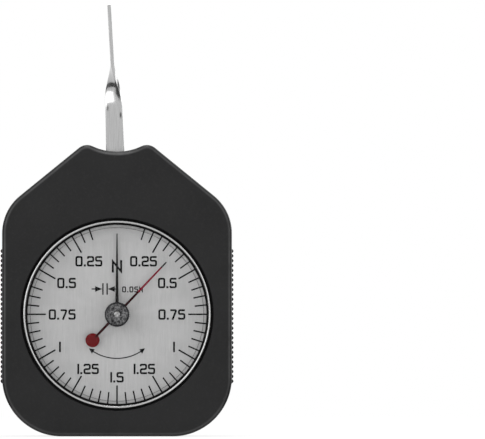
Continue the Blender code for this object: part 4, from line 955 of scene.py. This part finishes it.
def print_numerals():
    """The plain numbers, the unit and the value of one division."""
    text = Print()
    h, w, s, g = 2.82 * MM, 1.46 * MM, 0.51 * MM, 0.22 * MM
    for side in (-1, 1):
        text.write("0.25", (side * 7.38 - 0.22) * MM, 14.32 * MM, h, w, s, g)
        text.write("0.5", side * 13.6 * MM, 8.45 * MM, h, w, s, g)
        text.write("0.75", side * 14.8 * MM, -0.05 * MM, h, w, s, g)
        text.write("1", side * 15.4 * MM, -8.8 * MM, h, w, s, g)
        text.write("1.25", (side * 7.6 - 0.2) * MM, -14.75 * MM, h, w, s, g)
    text.write("1.5", 0, -17.0 * MM, h, w, s, g)
    text.write("N", 0, 12.95 * MM, 3.34 * MM, 2.25 * MM, 0.60 * MM, 0)
    text.write("0.05N", 4.2 * MM, 6.72 * MM, 1.60 * MM, 0.76 * MM, 0.31 * MM, 0.23 * MM)
    mesh_object("dial_numerals", text.bm, INK, CASE)


def print_marks():
    """The mark of one division, and an arc with an arrow head at each end."""
    marks = Print()
    z, bar = 6.84 * MM, 1.55 * MM
    for x in (-3.80 * MM, -2.66 * MM):
        marks.stroke([(x, z - bar), (x, z + bar)], 0.38 * MM)
    length, half = 1.95, 0.76 * MM
    for tail, tip, d in ((-6.88, -3.95, 1), (-0.4, -2.54, -1)):
        marks.stroke([(tail * MM, z), ((tip - d * 1.2) * MM, z)], 0.32 * MM)
        base = (tip - d * length) * MM
        marks.patch([(tip * MM, z), (base, z + half), (base, z - half)])
    r, span, steps = 11.9 * MM, 33, 32
    marks.stroke([polar(r, rad(270 - span + 2 * span * i / steps)) for i in range(steps + 1)],
                 0.30 * MM)
    for end, d in ((270 - span, -1), (270 + span, 1)):
        base = rad(end - d * 0.5)
        marks.patch([polar(r, rad(end + d * 6.5)), polar(r - 0.72 * MM, base),
                     polar(r + 0.72 * MM, base)])
    mesh_object("dial_marks", marks.bm, INK, CASE)


# Knob and peak pointer

def make_knob():
    """A fluted knob with soft edges. A row has its share of the radius, its y and its flutes."""
    low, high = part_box("reset_knob")
    y0, y1 = low.y, high.y
    flutes = 40
    per = 6
    n = flutes * per
    bore = 0.85 * MM
    flute_depth = 0.15 * MM
    rows = [(0.30, y0 + 0.02 * MM, 0.0), (0.94, y0, 0.0), (0.975, y0 + 0.06 * MM, 0.35),
            (1.0, y0 + 0.24 * MM, 1.0), (1.0, y1 - 0.22 * MM, 1.0), (0.965, y1 - 0.03 * MM, 0.3),
            (0.92, y1, 0.0)]
    rings = []
    for share, y, depth in rows:
        ring = []
        for i in range(n):
            wave = 0.5 - 0.5 * math.cos(2 * math.pi * (i % per) / per)
            r = high.x * share - flute_depth * wave * depth
            ring.append(polar(r, 2 * math.pi * i / n, 0, DIAL_Z))
        rings.append(at_depth(ring, y))
    bm = bmesh.new()
    made = loft(bm, rings, close_ends=False)
    front, back = [[bm.verts.new(p) for p in at_depth(circle(0, DIAL_Z, bore, n), y)]
                   for y in (y0 + 0.10 * MM, y1)]
    for a, b in ((front, made[0]), (made[-1], back), (back, front)):
        bridge(bm, a, b)
    knob = mesh_object("knob_turning", bm, KNOB, PEAK, 40)
    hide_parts("reset_knob")


def make_spindle():
    """The spindle's end in the knob, dished in its middle."""
    low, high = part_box("knob_spindle")
    r = high.x
    bm = bmesh.new()
    lathe(bm, [(0.0, low.y + 0.10 * MM), (0.22 * MM, low.y + 0.06 * MM), (0.34 * MM, low.y),
               (r * 0.80, low.y + 0.02 * MM), (r * 0.97, low.y + 0.12 * MM),
               (r, low.y + 0.25 * MM), (r, high.y), (0.0, high.y)], 0, DIAL_Z, SMALL_SIDES)
    spindle = mesh_object("knob_spindle_turning", bm, SPINDLE, PEAK, 40)
    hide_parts("knob_spindle")


def colour_new(bm, before, index):
    """Gives a material to every face after the first so many."""
    bm.faces.ensure_lookup_table()
    for face in bm.faces[before:]:
        face.material_index = index


def make_peak_pointer():
    """Thin hand with a root in painted shadow, a dark tip and a slightly domed counterweight."""
    y0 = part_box("peak_pointer")[0].y
    up = rad(90 - 43.4)
    thick, bevel = 0.25 * MM, 0.08 * MM
    # The index named dark gives painted shadow to the root, the tail and the hub.
    red, dark, black, bright = range(4)

    def at(u, v):
        return (u * math.cos(up) - v * math.sin(up), u * math.sin(up) + v * math.cos(up))

    # Each length of the hand: from, to, half its width at both, all in mm, and its colour
    lengths = ((1.2, 8.4, 0.34, 0.29, dark), (8.4, 17.4, 0.29, 0.22, red),
               (17.4, 19.4, 0.22, 0.17, black), (-8.6, -1.2, 0.33, 0.35, dark))
    bm = bmesh.new()
    for u0, u1, w0, w1, index in lengths:
        rings = []
        for u, w in ((u0, w0), (u1, w1)):
            ring = []
            for v, y in ((-w, y0 + thick), (-w, y0 + bevel), (-w * 0.6, y0), (w * 0.6, y0),
                         (w, y0 + bevel), (w, y0 + thick)):
                x, z = at(u * MM, v * MM)
                ring.append((x, y, DIAL_Z + z))
            rings.append(ring)
        before = len(bm.faces)
        loft(bm, rings)
        colour_new(bm, before, index)
    x, z = at(-9.6 * MM, 0)
    r, back = 1.9 * MM, y0 + 0.5 * MM
    before = len(bm.faces)
    lathe(bm, [(0.0, y0), (r * 0.55, y0 + 0.02 * MM), (r * 0.85, y0 + 0.07 * MM),
               (r * 0.97, y0 + 0.15 * MM), (r, y0 + 0.25 * MM), (r, back), (0.0, back)],
          x, DIAL_Z + z, 64)
    colour_new(bm, before, bright)
    bore, hub, back = 0.9 * MM, 1.7 * MM, y0 + 0.6 * MM
    before = len(bm.faces)
    lathe(bm, [(bore, y0), (1.65 * MM, y0), (hub, y0 + 0.06 * MM), (hub, back), (bore, back)],
          0, DIAL_Z, SMALL_SIDES, closed=True)
    colour_new(bm, before, dark)
    hand = mesh_object("peak_hand_blade", bm, [NEEDLE_RED, NEEDLE_SHADOW, BLACK, RED], PEAK, 40,
                       merge=False)
    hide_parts("peak_pointer")


# Lever

def make_lever():
    """The feeler strip: flat at the case, a quarter twist, then a slim blade with a round end."""
    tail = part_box("lever")[0].z
    mid_y = (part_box("sector_gear")[1].y + FIT_GAP) + STRIP_THICK / 2
    twist0 = NOTCH_FLOOR + 11.4 * MM
    twist1 = twist0 + 12.2 * MM
    tip = twist1 + 16.3 * MM
    full, neck, end, corner = STRIP_WIDTH, 4.55 * MM, 3.2 * MM, 0.4 * MM
    edge = 0.15 * MM
    quarter = -math.pi / 2
    lean0, lean1 = math.tan(rad(1.85)), math.tan(rad(3.2))

    def middle(z):
        return -(min(z, twist1) - PIVOT_Z) * lean0 - max(z - twist1, 0) * lean1

    def section(width, turn, z):
        """A thin bar with round edges, with extra points along its wide sides."""
        a, b = width / 2 - edge, STRIP_THICK / 2
        pts = []
        for sx, sy, start in ((1, 1, 0), (-1, 1, 90), (-1, -1, 180), (1, -1, 270)):
            pts += [polar(edge, rad(start + 30 * k), sx * a, sy * (b - edge)) for k in range(4)]
            if sx == sy:
                pts += [(sx * a * (1 - k / 5), sy * b) for k in range(1, 10)]
        return [(x, y, z) for x, y in turned(pts, turn, middle(z), mid_y)]

    # Each cross-section up the strip: its height, its width and its turn
    stations = [(tail, full - 2 * edge, 0.0), (tail + edge, full, 0.0), (PIVOT_Z, full, 0.0)]
    for f in shares(12):
        stations.append((PIVOT_Z + (twist0 - PIVOT_Z) * f, full - (full - neck) * f, 0.0))
    for f in shares(40):
        eased = f - math.sin(2 * math.pi * f) * 0.05
        stations.append((twist0 + (twist1 - twist0) * f, neck, quarter * eased))
    for f in shares(12):
        stations.append((twist1 + (tip - corner - twist1) * f, neck - (neck - end) * f, quarter))
    for f in shares(7):
        t = math.pi / 2 * f
        width = end - 2 * corner * (1 - math.cos(t))
        stations.append((tip - corner * (1 - math.sin(t)), width, quarter))
    bm = bmesh.new()
    loft(bm, [section(width, turn, z) for z, width, turn in stations])
    lever = mesh_object("feeler_strip", bm, STRIP, LEVER, 20, merge=False)
    holes = [(1.7 * MM, (0, PIVOT_Z), 40)]
    for name in ("lever_rivet_1", "lever_rivet_2"):
        holes.append((0.7 * MM, centre(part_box(name)), 24))
    holes.append((1.0 * MM, centre(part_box("lever_spring_pin")), 24))
    for r, (x, z), sides in holes:
        boolean(lever, disc_bm(r, mid_y - OVERRUN, mid_y + OVERRUN, x, z, sides), angle=20)
    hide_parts("lever")


make_shell()
make_ribs()
make_cover()
make_label()
make_cover_screws()
make_bezel()
make_gasket()
make_crystal()
print_ticks()
print_numerals()
print_marks()
make_knob()
make_spindle()
make_peak_pointer()
make_lever()


# Stage

def seen_by(tree, *rays):
    """One for any of the named kinds of ray, nought for the others."""
    path = add(tree, "ShaderNodeLightPath")
    seen = path.outputs[rays[0]]
    for ray in rays[1:]:
        seen = math_of(tree, "MAXIMUM", seen, path.outputs[ray])
    return seen


def mix_shaders(tree, factor, first, second, output):
    """Sends a mix of two shaders to an output."""
    mix = add(tree, "ShaderNodeMixShader", {0: factor, 1: first, 2: second})
    give(tree, tree.nodes[output], {"Surface": mix.outputs["Shader"]})


def make_floor():
    """A floor with soft shadows near the object, which grows white away from it."""
    half = 3.0
    mesh = bpy.data.meshes.new("floor")
    mesh.from_pydata([(-half, -half, 0), (half, -half, 0), (half, half, 0), (-half, half, 0)], [],
                     [(0, 1, 2, 3)])
    floor = placed("floor", mesh)
    mat, tree, shader = nodes_of("floor_finish", {"Base Color": (*grey(0.82), 1),
                                                  "Roughness": 0.9, "Specular IOR Level": 0.1})
    glow = add(tree, "ShaderNodeEmission", {"Strength": 1.0})
    white = ranged(tree, distance_from(tree, (0, 0, 0)), 0.80, 1.0, 0.08, 0.40)
    seen = seen_by(tree, "Is Camera Ray", "Is Glossy Ray")
    mix_shaders(tree, math_of(tree, "MULTIPLY", seen, white), shader.outputs["BSDF"],
                glow.outputs["Emission"], "Material Output")
    mesh.materials.append(mat)


def make_cards():
    """Grey cards beside the object and dark ones below, which only its gloss shows."""
    # From and to in x, outwards, in y, forwards on the right and backwards on the left, and in z
    thick = 0.002
    upright = (0.26, 0.26 + thick, 0.001, 0.120, 0.002, 0.34)
    flat = (0.040, 0.26, -0.165, 0.13, 0.001, 0.001 + thick)
    kinds = []
    for kind, shade_of_grey, size in (("grey", 0.07, upright), ("dark", 0.03, flat)):
        mat = nodes_of("card_" + kind, {"Base Color": (*grey(shade_of_grey), 1),
                                        "Roughness": 0.9})[0]
        kinds.append((kind, mat, size))
    for side, where in ((-1, "left"), (1, "right")):
        for kind, mat, (x0, x1, y0, y1, z0, z1) in kinds:
            corners = ((x0, y0), (x1, y0), (x1, y1), (x0, y1))
            bm = bmesh.new()
            loft(bm, [[(side * x, -side * y, z) for x, y in corners] for z in (z0, z1)])
            card = mesh_object(f"card_{kind}_{where}", bm, mat, None)
            for ray in ("camera", "diffuse", "shadow", "transmission"):
                setattr(card, "visible_" + ray, False)


def make_world():
    """White all round, a little dimmer as a light than it looks."""
    world = bpy.data.worlds.new("studio")
    bpy.context.scene.world = world
    world.use_nodes = True
    tree = world.node_tree
    light = tree.nodes["Background"]
    give(tree, light, {"Color": (1, 1, 1, 1), "Strength": 0.74})
    white = add(tree, "ShaderNodeBackground", {"Color": (1, 1, 1, 1), "Strength": 1.0})
    seen = seen_by(tree, "Is Camera Ray", "Is Glossy Ray", "Is Transmission Ray")
    mix_shaders(tree, seen, light.outputs["Background"], white.outputs["Background"],
                "World Output")


def area(name, place, target, size, power):
    """A square lamp that looks at a target, with its size in metres and its power in watts."""
    data = bpy.data.lights.new(name, "AREA")
    data.shape = "RECTANGLE"
    data.size = data.size_y = size
    data.energy = power
    lamp = placed(name, data)
    lamp.location = place
    lamp.rotation_euler = (Vector(target) - Vector(place)).to_track_quat("-Z", "Y").to_euler()
    return lamp


def make_camera():
    """A distant camera whose frame is the photo's, with the gauge where its front view is."""
    distance, film, eye_height = 4.0, 36, 58.5 * MM
    data = bpy.data.cameras.new("camera")
    camera = placed("camera", data)
    camera.location = (0, FRONT_Y - distance, eye_height)
    camera.rotation_euler = (rad(90), 0, 0)
    data.sensor_width = film
    data.lens = film * distance / (PHOTO_WIDTH * PIXEL * MM)
    data.shift_x = (PHOTO_WIDTH / 2 - AXIS_COLUMN) / PHOTO_WIDTH
    data.clip_start = 0.01
    data.clip_end = 20
    bpy.context.scene.camera = camera


make_floor()
make_cards()
make_world()
area("key_front", (-0.70, -0.70, 0.40), (0, 0, 0.08), 0.90, 4.6)
area("key_back", (0.70, 0.70, 0.40), (0, 0, 0.08), 0.90, 4.6)
area("fill_front", (0.75, -0.65, 0.35), (0, 0, 0.05), 0.6, 1.6)
area("fill_back", (-0.75, 0.65, 0.35), (0, 0, 0.05), 0.6, 1.6).visible_glossy = False
area("over", (0.0, 0.0, 0.95), (0, 0, 0.05), 0.30, 4.2)
make_camera()

view = bpy.context.scene.view_settings
view.view_transform = "Standard"
